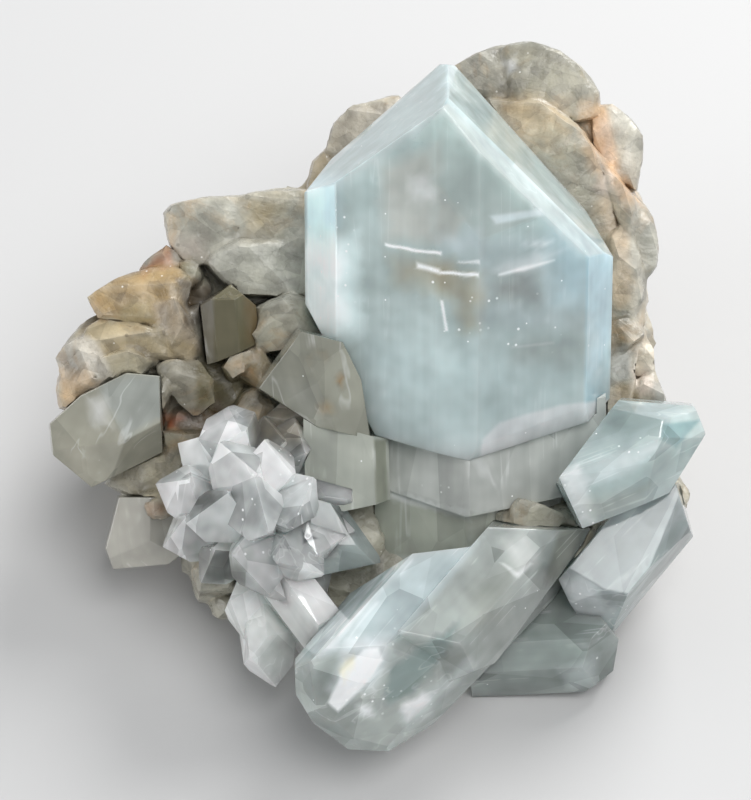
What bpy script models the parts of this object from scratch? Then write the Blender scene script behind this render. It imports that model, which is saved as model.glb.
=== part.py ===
"""Topaz specimen: a large clear topaz on feldspar, with smaller topaz and quartz crystals around it.

Every crystal is a convex block cut from a cube by its flat crystal faces. The faces are given by corner
points as the specimen is seen from the front and above, in the view frame: x to the right, y up the view,
z toward the eye. The whole specimen is then leaned back into the attitude in which it rests, cut flat
underneath, and centred over the origin. All lengths are in metres.
"""
import bmesh
import bpy
import random
from math import cos, pi, radians, sin
from mathutils import Matrix, Vector

# Driving dimensions
MM = 0.001
SPECIMEN_WIDTH = 75.0 * MM        # across the specimen, left to right
EYE_DISTANCE = 383.0 * MM         # from the eye to the middle of the view
VIEW_ELEVATION = 50.0             # degrees that the eye looks down by
FLOOR_DROP = 25.0 * MM            # from the middle of the view straight down to the cut base
GAP = 0.3 * MM                    # left between neighbouring crystals
BLOCK_SIZE = 400.0 * MM           # uncut block that a crystal is cleaved from
SAME_CORNER = 0.002 * MM          # corners nearer than this are one corner
FLAT_ANGLE = 0.2                  # degrees: faces that turn less than this are one face
ROOF_OFFSET = 0.35                # a small crystal's roof ridge from its middle, in half widths
WORN_SHARE = 0.5                  # share of a rock crystal's edges that are worn off

# Places in the view are read in pixels of a picture 751 wide and 800 high
VIEW_MIDDLE = (375.5, 400.0)
WIDTH_IN_PIXELS = 653.0
PIXEL = SPECIMEN_WIDTH / WIDTH_IN_PIXELS

OBJECT_NAME = "topaz_specimen"


def seen(px, py, toward):
    """The point seen at a pixel of the view, at a height toward the eye in millimetres."""
    z = toward * MM
    scale = PIXEL * (EYE_DISTANCE - z) / EYE_DISTANCE
    return Vector(((px - VIEW_MIDDLE[0]) * scale, (VIEW_MIDDLE[1] - py) * scale, z))


def rest_matrix():
    """Turns the view frame into the frame in which the specimen rests."""
    return Matrix.Rotation(radians(90.0 - VIEW_ELEVATION), 4, "X")


class Frame:
    """A crystal's own frame: its long axis, and the plane that its corners are read on.

    bearing is the axis's direction in the view, counted from the right, and lean is how far it comes
    toward the eye, both in degrees. Depths are millimetres behind the plane through the anchor.
    """

    def __init__(self, px, py, toward, bearing, lean):
        turn = radians(bearing)
        rise = radians(lean)
        self.anchor = seen(px, py, toward)
        self.axis = Vector((cos(turn) * cos(rise), sin(turn) * cos(rise), sin(rise)))
        self.back = Vector((cos(turn) * sin(rise), sin(turn) * sin(rise), -cos(rise)))

    def at(self, px, py, depth=0.0):
        """The point seen at a pixel, so many millimetres behind the anchor's plane."""
        eye = Vector((0.0, 0.0, EYE_DISTANCE))
        ray = seen(px, py, 0.0) - eye
        plane_point = self.anchor + self.back * (depth * MM)
        reach = (plane_point - eye).dot(self.back) / ray.dot(self.back)
        return eye + ray * reach

    def edge_on(self, first, second):
        """The face seen edge-on through two pixels: it is a stretch of the crystal's outline."""
        return through(self.at(*first), self.at(*second), self.at(*first, 10.0))

    def along(self, first, second):
        """A prism face: it holds two corners and runs along the crystal's axis."""
        return through(first, second, first + self.axis * 0.01)


def through(first, second, third):
    """The plane through three corners."""
    normal = (second - first).cross(third - first).normalized()
    return first.copy(), normal


def facing_out(faces, inside):
    """Turns each plane's normal away from a point inside the crystal."""
    turned = []
    for point, normal in faces:
        outward = normal if (point - inside).dot(normal) > 0.0 else -normal
        turned.append((point, outward))
    return turned


def cleave(faces, grow=0.0):
    """A convex solid: a cube cut by each plane in turn, the planes moved out by grow."""
    solid = bmesh.new()
    bmesh.ops.create_cube(solid, size=BLOCK_SIZE)
    for point, normal in faces:
        everything = solid.verts[:] + solid.edges[:] + solid.faces[:]
        cut = bmesh.ops.bisect_plane(
            solid,
            geom=everything,
            dist=1e-7,
            plane_co=point + normal * grow,
            plane_no=normal,
            clear_outer=True,
        )
        rim = [item for item in cut["geom_cut"] if isinstance(item, bmesh.types.BMEdge)]
        if rim:
            bmesh.ops.contextual_create(solid, geom=rim)
    bmesh.ops.remove_doubles(solid, verts=solid.verts[:], dist=SAME_CORNER)
    flat = radians(FLAT_ANGLE)
    bmesh.ops.dissolve_limit(solid, angle_limit=flat, verts=solid.verts[:], edges=solid.edges[:])
    bmesh.ops.recalc_face_normals(solid, faces=solid.faces[:])
    return solid


def prism(foot, tip, width, depth, roll=0.0, roof=43.0, taper=0.0):
    """Faces of a blade-like crystal from its foot to its tip, both points of the view frame.

    width and depth are millimetres across the prism, roll turns it about its axis, and roof is the slope
    of the two end faces. taper narrows the prism toward its tip. Angles are in degrees.
    """
    axis = (tip - foot).normalized()
    eye = Vector((0.0, 0.0, 1.0))
    front = (eye - axis * eye.dot(axis)).normalized()
    side = axis.cross(front)
    spin = Matrix.Rotation(radians(roll), 3, axis)
    front = spin @ front
    side = spin @ side
    half = width * MM / 2.0
    thick = depth * MM / 2.0
    middle = (foot + tip) / 2.0
    narrowing = radians(taper)
    faces = []
    corner = (half + thick) / 2.0
    for angle, reach in ((0.0, thick), (52.0, 0.92 * corner), (90.0, half), (128.0, 0.96 * corner),
                         (180.0, thick), (232.0, 0.94 * corner), (270.0, half), (308.0, 0.9 * corner)):
        turn = radians(angle)
        sideways = front * cos(turn) + side * sin(turn)
        faces.append((middle + sideways * reach, sideways * cos(narrowing) + axis * sin(narrowing)))
    crest = tip + side * (ROOF_OFFSET * half)
    slope = radians(roof)
    faces.append((crest, axis * cos(slope) + side * sin(slope)))
    faces.append((crest, axis * cos(slope) - side * sin(slope)))
    faces.append((foot, -axis))
    return faces


def rough_block(centre, size, turn, chance, facets):
    """Faces of a blocky feldspar crystal: a leaning box with some of its edges and corners cut off.

    size is the box's width, height and depth in millimetres, turn is degrees about the line of sight,
    and chance is the seeded generator that settles the rest.
    """
    lean = Matrix.Rotation(radians(turn), 3, "Z")
    lean = lean @ Matrix.Rotation(radians(chance.uniform(-16, 16)), 3, "X")
    lean = lean @ Matrix.Rotation(radians(chance.uniform(-16, 16)), 3, "Y")
    reach = Vector(size) * (MM / 2.0)
    faces = []
    for axis in range(3):
        for sign in (-1.0, 1.0):
            outward = Vector((0.0, 0.0, 0.0))
            outward[axis] = sign
            skew = Vector((chance.uniform(-0.2, 0.2), chance.uniform(-0.2, 0.2), chance.uniform(-0.2, 0.2)))
            normal = (outward + skew).normalized()
            faces.append((centre + lean @ (outward * reach[axis]), lean @ normal))
    for step in range(facets):
        turn_about = 2.0 * pi * step / facets + chance.uniform(-0.3, 0.3)
        tilt = chance.uniform(-0.2, 1.0)
        outward = Vector((cos(turn_about), sin(turn_about), tilt)).normalized()
        size_there = Vector([abs(outward[axis]) * reach[axis] for axis in range(3)]).length
        corner = size_there * chance.uniform(1.02, 1.2)
        faces.append((centre + lean @ (outward * corner), lean @ outward))
    return faces


def lump(px, py, toward, width, height, depth, turn, seed):
    """A feldspar block whose front face is seen at the given place of the view."""
    centre = seen(px, py, toward) - Vector((0.0, 0.0, depth * MM / 2.0))
    return rough_block(centre, (width, height, depth), turn, random.Random(seed), 9)


# Crystals, front to back. Each function returns a list of convex blocks, each a list of faces.

def main_topaz():
    """The large clear crystal: a prism with a roof of two sloping faces, leaning toward the eye."""
    frame = Frame(478, 300, 13.0, 90.0, 18.0)
    inside = frame.at(460, 320, 10.0)
    left_front = frame.at(337, 260, 4.5)
    left_back = frame.at(306, 260, 11.5)
    front_left = frame.at(436, 260, 0.7)
    front_edge = frame.at(479, 260, 0.0)
    right_front = frame.at(587, 300, 4.0)
    right_back = frame.at(611, 300, 11.0)
    far_right = frame.at(583, 300, 20.5)
    far_middle = frame.at(440, 300, 24.5)
    far_left = frame.at(333, 300, 18.5)
    ridge_front = frame.at(448, 104, 0.8)
    ridge_back = frame.at(448, 62, 23.0)
    left_shoulder = frame.at(336, 183, 4.5)
    right_shoulder = frame.at(586, 243, 4.0)
    lower_streak = (frame.at(520, 168, 6.0), frame.at(596, 246, 8.0), frame.at(545, 217, 2.2))
    foot_left = frame.at(368, 430, 4.0)
    foot_front = frame.at(468, 459, 0.3)
    foot_right = frame.at(606, 412, 6.5)
    foot_back = frame.at(450, 400, 22.0)
    bevel = (frame.at(482, 440, 0.0), frame.at(600, 400, 4.5), frame.at(540, 446, 3.4))
    faces = [
        frame.along(left_back, left_front),
        frame.along(left_front, front_left),
        frame.along(front_left, front_edge),
        frame.along(front_edge, right_front),
        frame.along(right_front, right_back),
        frame.along(right_back, far_right),
        frame.along(far_right, far_middle),
        frame.along(far_middle, far_left),
        frame.along(far_left, left_back),
        through(ridge_front, ridge_back, left_shoulder),
        through(ridge_front, ridge_back, right_shoulder),
        through(*lower_streak),
        through(frame.at(437, 65, 22.0), frame.at(462, 67, 22.0), frame.at(450, 66, 18.0)),
        through(foot_left, foot_front, foot_back),
        through(foot_front, foot_right, foot_back),
        through(*bevel),
        through(frame.at(318, 325, 7.0), frame.at(358, 400, 5.0), frame.at(318, 325, 14.0)),
    ]
    return [facing_out(faces, inside)]


def pedestal_crystal():
    """The grey prism that the large topaz stands on, with its lower step."""
    frame = Frame(470, 480, 6.0, 90.0, 12.0)
    inside = frame.at(470, 480, 6.0)
    upper = [
        frame.along(frame.at(388, 460, 5.0), frame.at(470, 460, 0.0)),
        frame.along(frame.at(470, 460, 0.0), frame.at(604, 440, 6.0)),
        frame.along(frame.at(388, 460, 5.0), frame.at(392, 460, 12.0)),
        frame.along(frame.at(604, 440, 6.0), frame.at(606, 440, 14.0)),
        frame.along(frame.at(392, 460, 15.0), frame.at(606, 440, 15.0)),
        through(frame.at(388, 489, 5.0), frame.at(465, 516, 0.0), frame.at(420, 480, 12.0)),
        through(frame.at(465, 516, 0.0), frame.at(600, 488, 6.0), frame.at(480, 490, 12.0)),
        through(frame.at(388, 425, 5.0), frame.at(600, 400, 5.0), frame.at(480, 400, 12.0)),
    ]
    lower = [
        frame.along(frame.at(376, 520, 6.0), frame.at(465, 520, 1.6)),
        frame.along(frame.at(465, 520, 1.6), frame.at(560, 520, 6.5)),
        frame.along(frame.at(376, 520, 6.0), frame.at(380, 520, 12.0)),
        frame.along(frame.at(560, 520, 6.5), frame.at(562, 520, 13.0)),
        frame.along(frame.at(380, 520, 13.0), frame.at(562, 520, 13.0)),
        through(frame.at(376, 572, 6.0), frame.at(465, 575, 1.6), frame.at(430, 560, 12.0)),
        through(frame.at(388, 470, 6.0), frame.at(465, 470, 2.0), frame.at(480, 470, 12.0)),
    ]
    return [facing_out(upper, inside), facing_out(lower, frame.at(465, 530, 7.0))]


def front_topaz():
    """The crystal that comes down to the left and toward the eye: two individuals grown side by side."""
    frame = Frame(385, 645, 19.0, 226.0, 30.0)
    crest = frame.at(385, 645, 0.0)
    left_crest = frame.at(328, 647, 1.4)
    ridge_foot = frame.at(338, 712, 6.6)
    long_one = [
        frame.along(frame.at(296, 664, 8.0), left_crest),
        frame.along(left_crest, crest),
        frame.along(crest, frame.at(440, 660, 2.6)),
        frame.along(frame.at(440, 660, 2.6), frame.at(474, 682, 8.5)),
        frame.along(frame.at(450, 690, 15.0), frame.at(350, 620, 14.0)),
        frame.edge_on((383, 555), (296, 660)),
        frame.edge_on((296, 660), (297, 694)),
        frame.edge_on((297, 694), (314, 722)),
        frame.edge_on((314, 722), (346, 746)),
        frame.edge_on((346, 748), (388, 750)),
        frame.edge_on((388, 750), (434, 722)),
        frame.edge_on((434, 722), (486, 668)),
        through(frame.at(322, 648, 1.4), crest, ridge_foot),
        through(crest, ridge_foot, frame.at(436, 700, 6.4)),
        through(frame.at(306, 672, 4.6), frame.at(318, 708, 6.4), frame.at(298, 680, 7.0)),
        through(frame.at(318, 708, 6.4), frame.at(346, 726, 7.6), frame.at(322, 724, 10.0)),
        through(frame.at(346, 726, 7.6), frame.at(392, 730, 8.0), frame.at(370, 746, 11.0)),
        through(frame.at(392, 730, 8.0), frame.at(450, 690, 7.0), frame.at(430, 720, 11.0)),
        through(frame.at(383, 553, 0.5), frame.at(466, 548, 0.0), frame.at(430, 590, 12.0)),
    ]
    side_one = [
        frame.along(frame.at(478, 540, -0.5), frame.at(420, 600, 0.3)),
        frame.along(frame.at(410, 618, -0.5), frame.at(462, 640, -1.0)),
        frame.along(frame.at(462, 640, -1.0), frame.at(506, 648, 4.0)),
        frame.along(frame.at(440, 600, 12.0), frame.at(500, 640, 12.0)),
        frame.edge_on((590, 527), (562, 580)),
        frame.edge_on((562, 580), (504, 650)),
        frame.edge_on((504, 650), (496, 661)),
        frame.edge_on((497, 661), (440, 684)),
        frame.edge_on((478, 540), (404, 625)),
        through(frame.at(408, 634, -0.3), frame.at(470, 655, 0.5), frame.at(450, 672, 4.0)),
        through(frame.at(490, 528, 0.0), frame.at(590, 527, 4.0), frame.at(510, 516, 12.0)),
    ]
    return [
        facing_out(long_one, frame.at(400, 650, 8.0)),
        facing_out(side_one, frame.at(480, 600, 5.0)),
    ]


def right_topaz():
    """The clear crystal that points to the upper right."""
    frame = Frame(600, 465, 12.0, 21.0, -8.0)
    inside = frame.at(630, 460, 4.0)
    faces = [
        frame.along(frame.at(575, 470, 0.0), frame.at(600, 420, 3.5)),
        frame.along(frame.at(570, 475, 0.0), frame.at(583, 527, 3.5)),
        frame.along(frame.at(583, 527, 3.5), frame.at(590, 520, 9.0)),
        frame.along(frame.at(590, 520, 11.0), frame.at(600, 430, 11.0)),
        through(frame.at(606, 403, 6.0), frame.at(695, 410, 6.0), frame.at(650, 418, 2.0)),
        through(frame.at(606, 401, 6.0), frame.at(695, 408, 6.0), frame.at(650, 401, 11.0)),
        through(frame.at(608, 415, 3.0), frame.at(560, 478, 1.0), frame.at(583, 450, 10.0)),
        through(frame.at(560, 478, 1.0), frame.at(583, 527, 3.5), frame.at(566, 500, 10.0)),
        through(frame.at(660, 438, 0.0), frame.at(674, 480, 5.0), frame.at(700, 445, 5.0)),
        through(frame.at(660, 438, 0.0), frame.at(664, 425, 1.2), frame.at(700, 428, 5.0)),
        through(frame.at(695, 410, 6.0), frame.at(704, 434, 6.0), frame.at(698, 425, 11.0)),
        through(frame.at(704, 434, 6.0), frame.at(675, 481, 6.0), frame.at(688, 458, 11.0)),
    ]
    return [facing_out(faces, inside)]


def lower_right_topaz():
    """The clear blade under the right-hand crystal."""
    frame = Frame(620, 560, 5.0, 50.0, -4.0)
    inside = frame.at(625, 560, 3.0)
    faces = [
        frame.along(frame.at(575, 562, 1.0), frame.at(655, 560, 0.0)),
        frame.along(frame.at(655, 560, 0.0), frame.at(666, 558, 4.0)),
        frame.along(frame.at(575, 562, 1.0), frame.at(572, 562, 6.0)),
        frame.along(frame.at(572, 562, 7.5), frame.at(660, 558, 7.5)),
        through(frame.at(562, 583, 1.0), frame.at(603, 590, 0.5), frame.at(585, 612, 4.5)),
        through(frame.at(603, 590, 0.5), frame.at(606, 631, 3.5), frame.at(590, 630, 4.5)),
        through(frame.at(562, 583, 3.0), frame.at(586, 633, 5.5), frame.at(578, 600, 7.5)),
        through(frame.at(660, 538, 0.0), frame.at(682, 505, 1.5), frame.at(688, 530, 4.0)),
        through(frame.at(676, 488, 0.0), frame.at(685, 515, 4.0), frame.at(684, 505, 8.0)),
        through(frame.at(600, 500, 0.0), frame.at(676, 486, 0.0), frame.at(640, 490, 8.0)),
    ]
    return [facing_out(faces, inside)]


def corner_topaz():
    """The dark crystal that lies low at the right-hand corner, almost on the ground."""
    frame = Frame(560, 650, 2.0, 4.0, 6.0)
    inside = frame.at(560, 655, 4.0)
    faces = [
        frame.along(frame.at(560, 640, 0.0), frame.at(560, 668, 0.8)),
        frame.along(frame.at(560, 668, 0.8), frame.at(560, 692, 4.5)),
        frame.along(frame.at(560, 692, 4.5), frame.at(560, 680, 8.0)),
        frame.along(frame.at(560, 680, 8.5), frame.at(560, 610, 8.5)),
        frame.along(frame.at(560, 640, 0.0), frame.at(560, 585, 3.6)),
        frame.edge_on((530, 583), (572, 583)),
        frame.edge_on((572, 583), (618, 640)),
        through(frame.at(590, 640, 0.0), frame.at(582, 670, 1.0), frame.at(612, 650, 3.5)),
        through(frame.at(617, 641, 3.5), frame.at(612, 671, 4.0), frame.at(615, 650, 8.0)),
        through(frame.at(612, 671, 4.0), frame.at(585, 690, 4.5), frame.at(600, 676, 8.0)),
        through(frame.at(470, 640, 0.0), frame.at(470, 690, 0.0), frame.at(474, 670, 8.0)),
    ]
    return [facing_out(faces, inside)]


def sparkling_cluster():
    """The bunch of small clear quartz crystals, which spread from one place."""
    heart = seen(262, 520, -4.0)
    blocks = []
    # tip in the view, height toward the eye, width and depth, roll, slope of the roof
    tips = (
        (226, 424, 6.5, 6.4, 4.2, 8, 8),
        (268, 432, 5.5, 4.6, 4.2, 35, 44),
        (300, 402, 2.5, 6.0, 4.0, 12, 34),
        (292, 436, 6.5, 5.0, 4.6, 30, 40),
        (347, 478, 5.5, 5.4, 4.4, 42, 40),
        (330, 448, 3.5, 4.6, 4.4, 20, 44),
        (172, 492, 5.5, 6.6, 5.0, 20, 38),
        (194, 446, 3.5, 6.0, 4.6, 50, 42),
        (180, 540, 5.0, 6.4, 5.0, 30, 40),
        (216, 570, 6.0, 5.4, 4.6, 15, 42),
        (332, 534, 7.5, 6.2, 5.0, 35, 42),
        (316, 584, 5.0, 6.0, 5.0, 10, 36),
        (284, 586, 7.5, 5.4, 4.6, 25, 45),
        (258, 568, 10.5, 6.4, 5.8, 40, 45),
        (232, 466, 10.5, 6.6, 5.4, 25, 42),
        (252, 508, 13.0, 6.4, 5.8, 0, 45),
        (294, 498, 12.0, 6.0, 5.4, 30, 45),
        (212, 516, 10.5, 5.8, 5.4, 45, 45),
        (304, 560, 10.0, 5.4, 5.0, 20, 45),
        (272, 462, 10.5, 5.4, 4.6, 50, 45),
    )
    for px, py, toward, width, depth, roll, roof in tips:
        tip = seen(px, py, toward)
        blocks.append(prism(heart, tip, width, depth, roll, roof, taper=-1.5))
    blocks.append(lump(258, 520, 4.0, 10.0, 12.0, 8.0, 20, 5))
    return blocks


def wing_crystal():
    """The pale blue crystal beside the cluster, like a small wing."""
    frame = Frame(345, 545, 7.0, -45.0, 8.0)
    inside = frame.at(342, 550, 3.0)
    faces = [
        through(frame.at(330, 508, 0.0), frame.at(331, 545, 0.0), frame.at(352, 545, 0.4)),
        through(frame.at(331, 545, 0.0), frame.at(352, 545, 0.4), frame.at(345, 573, 2.0)),
        through(frame.at(352, 540, 0.4), frame.at(372, 548, 3.0), frame.at(346, 508, 2.4)),
        frame.edge_on((344, 508), (378, 556)),
        frame.edge_on((379, 562), (322, 574)),
        frame.edge_on((378, 554), (379, 564)),
        frame.edge_on((312, 500), (312, 575)),
        frame.edge_on((325, 503), (346, 509)),
        through(frame.at(330, 520, 6.5), frame.at(330, 560, 6.5), frame.at(370, 555, 6.5)),
    ]
    return [facing_out(faces, inside)]


def lower_left_crystals():
    """The group of clear crystals between the cluster and the front topaz."""
    frame = Frame(295, 620, 9.0, -52.0, 18.0)
    inside = frame.at(298, 620, 4.0)
    large = [
        frame.along(frame.at(262, 590, 3.5), frame.at(300, 600, 0.0)),
        frame.along(frame.at(300, 600, 0.0), frame.at(322, 590, 1.5)),
        frame.along(frame.at(322, 590, 1.5), frame.at(330, 600, 6.0)),
        frame.along(frame.at(262, 590, 3.5), frame.at(262, 600, 9.0)),
        frame.along(frame.at(262, 600, 10.0), frame.at(330, 600, 10.0)),
        through(frame.at(340, 606, 2.0), frame.at(336, 641, 3.0), frame.at(342, 620, 9.0)),
        through(frame.at(336, 641, 3.0), frame.at(298, 668, 3.5), frame.at(320, 655, 9.0)),
        through(frame.at(338, 612, 1.5), frame.at(300, 655, 2.0), frame.at(318, 625, 0.0)),
        through(frame.at(285, 575, 0.0), frame.at(330, 585, 0.0), frame.at(300, 570, 9.0)),
    ]
    small = prism(seen(262, 585, -4.0), seen(272, 668, 5.0), 6.2, 6.0, 20, 42, taper=1.0)
    side = prism(seen(262, 575, -4.0), seen(245, 618, 4.0), 5.0, 5.0, 35, 44)
    return [facing_out(large, inside), small, side]


def left_crystal():
    """The milky crystal at the far left."""
    frame = Frame(110, 430, 2.0, 60.0, 10.0)
    inside = frame.at(108, 430, 4.0)
    faces = [
        through(frame.at(100, 392, 0.5), frame.at(155, 382, 1.5), frame.at(125, 440, 0.0)),
        through(frame.at(100, 392, 0.5), frame.at(125, 440, 0.0), frame.at(60, 440, 2.5)),
        through(frame.at(125, 440, 0.0), frame.at(60, 448, 2.5), frame.at(95, 484, 4.0)),
        through(frame.at(125, 440, 0.0), frame.at(160, 430, 1.8), frame.at(130, 467, 3.5)),
        through(frame.at(158, 378, 1.5), frame.at(161, 452, 3.0), frame.at(162, 420, 11.0)),
        through(frame.at(161, 452, 3.0), frame.at(92, 486, 4.5), frame.at(125, 468, 11.0)),
        through(frame.at(92, 486, 4.5), frame.at(54, 454, 4.5), frame.at(75, 470, 11.0)),
        through(frame.at(54, 454, 4.5), frame.at(51, 424, 4.5), frame.at(51, 438, 11.0)),
        through(frame.at(51, 424, 4.5), frame.at(82, 396, 3.5), frame.at(66, 410, 11.0)),
        through(frame.at(82, 396, 3.5), frame.at(125, 375, 3.0), frame.at(100, 386, 11.0)),
        through(frame.at(125, 374, 3.0), frame.at(158, 377, 3.0), frame.at(140, 375, 11.0)),
        through(frame.at(60, 400, 9.5), frame.at(160, 400, 9.5), frame.at(110, 480, 9.5)),
    ]
    return [facing_out(faces, inside)]


def low_left_crystal():
    """The clouded crystal that points down at the lower left."""
    frame = Frame(145, 540, -2.0, -80.0, 6.0)
    inside = frame.at(145, 540, 3.5)
    faces = [
        through(frame.at(122, 512, 1.0), frame.at(150, 520, 0.0), frame.at(125, 545, 1.5)),
        through(frame.at(150, 520, 0.0), frame.at(184, 530, 1.5), frame.at(150, 552, 0.6)),
        through(frame.at(125, 545, 1.0), frame.at(180, 548, 1.0), frame.at(150, 566, 3.0)),
        through(frame.at(119, 500, 3.0), frame.at(107, 548, 3.0), frame.at(112, 520, 9.0)),
        through(frame.at(107, 548, 3.0), frame.at(114, 568, 4.0), frame.at(110, 558, 9.0)),
        through(frame.at(114, 568, 4.0), frame.at(168, 563, 4.0), frame.at(140, 566, 9.0)),
        through(frame.at(168, 563, 4.0), frame.at(192, 545, 4.0), frame.at(180, 554, 9.0)),
        through(frame.at(192, 545, 4.0), frame.at(178, 500, 3.0), frame.at(186, 520, 9.0)),
        through(frame.at(110, 498, 2.0), frame.at(190, 498, 2.0), frame.at(150, 496, 9.0)),
        through(frame.at(110, 520, 8.0), frame.at(190, 520, 8.0), frame.at(150, 560, 8.0)),
    ]
    return [facing_out(faces, inside)]


def grey_crystal():
    """The grey crystal with brown inclusions that leans on the large topaz's left foot."""
    frame = Frame(310, 375, 9.0, 100.0, 8.0)
    inside = frame.at(312, 380, 4.0)
    faces = [
        through(frame.at(298, 346, 0.4), frame.at(340, 350, 0.0), frame.at(318, 382, 0.0)),
        through(frame.at(298, 346, 0.4), frame.at(318, 382, 0.0), frame.at(270, 380, 3.0)),
        through(frame.at(318, 382, 0.0), frame.at(280, 405, 3.0), frame.at(325, 425, 1.5)),
        through(frame.at(318, 382, 0.0), frame.at(352, 372, 0.6), frame.at(362, 420, 1.5)),
        through(frame.at(262, 386, 3.5), frame.at(300, 333, 2.5), frame.at(278, 358, 9.0)),
        through(frame.at(300, 332, 2.5), frame.at(342, 343, 1.5), frame.at(320, 335, 9.0)),
        through(frame.at(342, 343, 1.5), frame.at(360, 380, 1.5), frame.at(352, 360, 9.0)),
        through(frame.at(360, 380, 1.5), frame.at(368, 430, 2.5), frame.at(364, 405, 9.0)),
        through(frame.at(368, 438, 2.5), frame.at(318, 426, 2.5), frame.at(340, 432, 9.0)),
        through(frame.at(318, 426, 2.5), frame.at(261, 388, 3.5), frame.at(285, 406, 9.0)),
        through(frame.at(270, 380, 10.0), frame.at(350, 380, 10.0), frame.at(320, 430, 10.0)),
    ]
    return [facing_out(faces, inside)]


def block_crystal():
    """The square grey block below the grey crystal, beside the pedestal."""
    frame = Frame(345, 465, 6.5, 92.0, 6.0)
    inside = frame.at(345, 465, 4.0)
    faces = [
        frame.along(frame.at(312, 465, 1.0), frame.at(374, 465, 0.0)),
        frame.along(frame.at(374, 465, 0.0), frame.at(388, 465, 2.5)),
        frame.along(frame.at(388, 465, 2.5), frame.at(388, 465, 9.0)),
        frame.along(frame.at(306, 465, 1.0), frame.at(304, 465, 9.0)),
        frame.along(frame.at(306, 465, 9.0), frame.at(388, 465, 9.0)),
        through(frame.at(320, 424, 0.5), frame.at(384, 440, 0.5), frame.at(345, 425, 9.0)),
        through(frame.at(344, 510, 0.5), frame.at(390, 499, 1.5), frame.at(360, 500, 9.0)),
        through(frame.at(344, 510, 0.5), frame.at(318, 498, 0.5), frame.at(330, 500, 9.0)),
    ]
    return [facing_out(faces, inside)]


def small_grey_prism():
    """The short grey prism among the brown feldspar at the left."""
    frame = Frame(230, 318, 0.0, 96.0, 10.0)
    inside = frame.at(230, 320, 3.0)
    faces = [
        frame.along(frame.at(203, 318, 1.8), frame.at(214, 318, 0.2)),
        frame.along(frame.at(214, 318, 0.2), frame.at(236, 318, 0.0)),
        frame.along(frame.at(236, 318, 0.0), frame.at(256, 318, 2.2)),
        frame.along(frame.at(256, 318, 2.2), frame.at(256, 318, 8.0)),
        frame.along(frame.at(203, 318, 1.8), frame.at(203, 318, 8.0)),
        frame.along(frame.at(203, 318, 8.0), frame.at(256, 318, 8.0)),
        through(frame.at(214, 300, 0.2), frame.at(236, 300, 0.0), frame.at(228, 288, 3.0)),
        through(frame.at(202, 306, 1.8), frame.at(228, 288, 3.0), frame.at(210, 298, 8.0)),
        through(frame.at(232, 287, 3.0), frame.at(257, 308, 2.2), frame.at(246, 298, 8.0)),
        through(frame.at(214, 362, 0.2), frame.at(252, 346, 0.2), frame.at(230, 350, 8.0)),
    ]
    return [facing_out(faces, inside)]


def rock_crystal(outline, toward, depth, flare, slopes, seed):
    """Faces of a flat-faced rock crystal, from the outline of its front in the view.

    toward is its front's height toward the eye and depth how far it goes back, in millimetres. flare is
    how far its sides spread toward the back, in degrees. slopes holds one entry for each face of the
    front: how steeply it rises to the right and up the view, and its offset in millimetres. The seed
    settles which edges are worn off.
    """
    chance = random.Random(seed)
    corners = [seen(px, py, toward) for px, py in outline]
    middle = sum(corners, Vector((0.0, 0.0, 0.0))) / len(corners)
    toward_eye = Vector((0.0, 0.0, 1.0))
    faces = [(middle - toward_eye * (depth * MM), -toward_eye)]
    for (px, py), first, second in zip(outline, corners, corners[1:] + corners[:1]):
        point, side = through(first, second, seen(px, py, toward - depth))
        if (point - middle).dot(side) < 0.0:
            side = -side
        spread = radians(flare)
        faces.append((point, side * cos(spread) + toward_eye * sin(spread)))
        if chance.random() < WORN_SHARE:
            slope = radians(chance.uniform(30.0, 60.0))
            inward = chance.uniform(0.2, 0.7) * MM
            faces.append((point - side * inward, side * cos(slope) + toward_eye * sin(slope)))
    for right, up, offset in slopes:
        faces.append((middle + toward_eye * (offset * MM), Vector((-right, -up, 1.0)).normalized()))
    return faces


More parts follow.
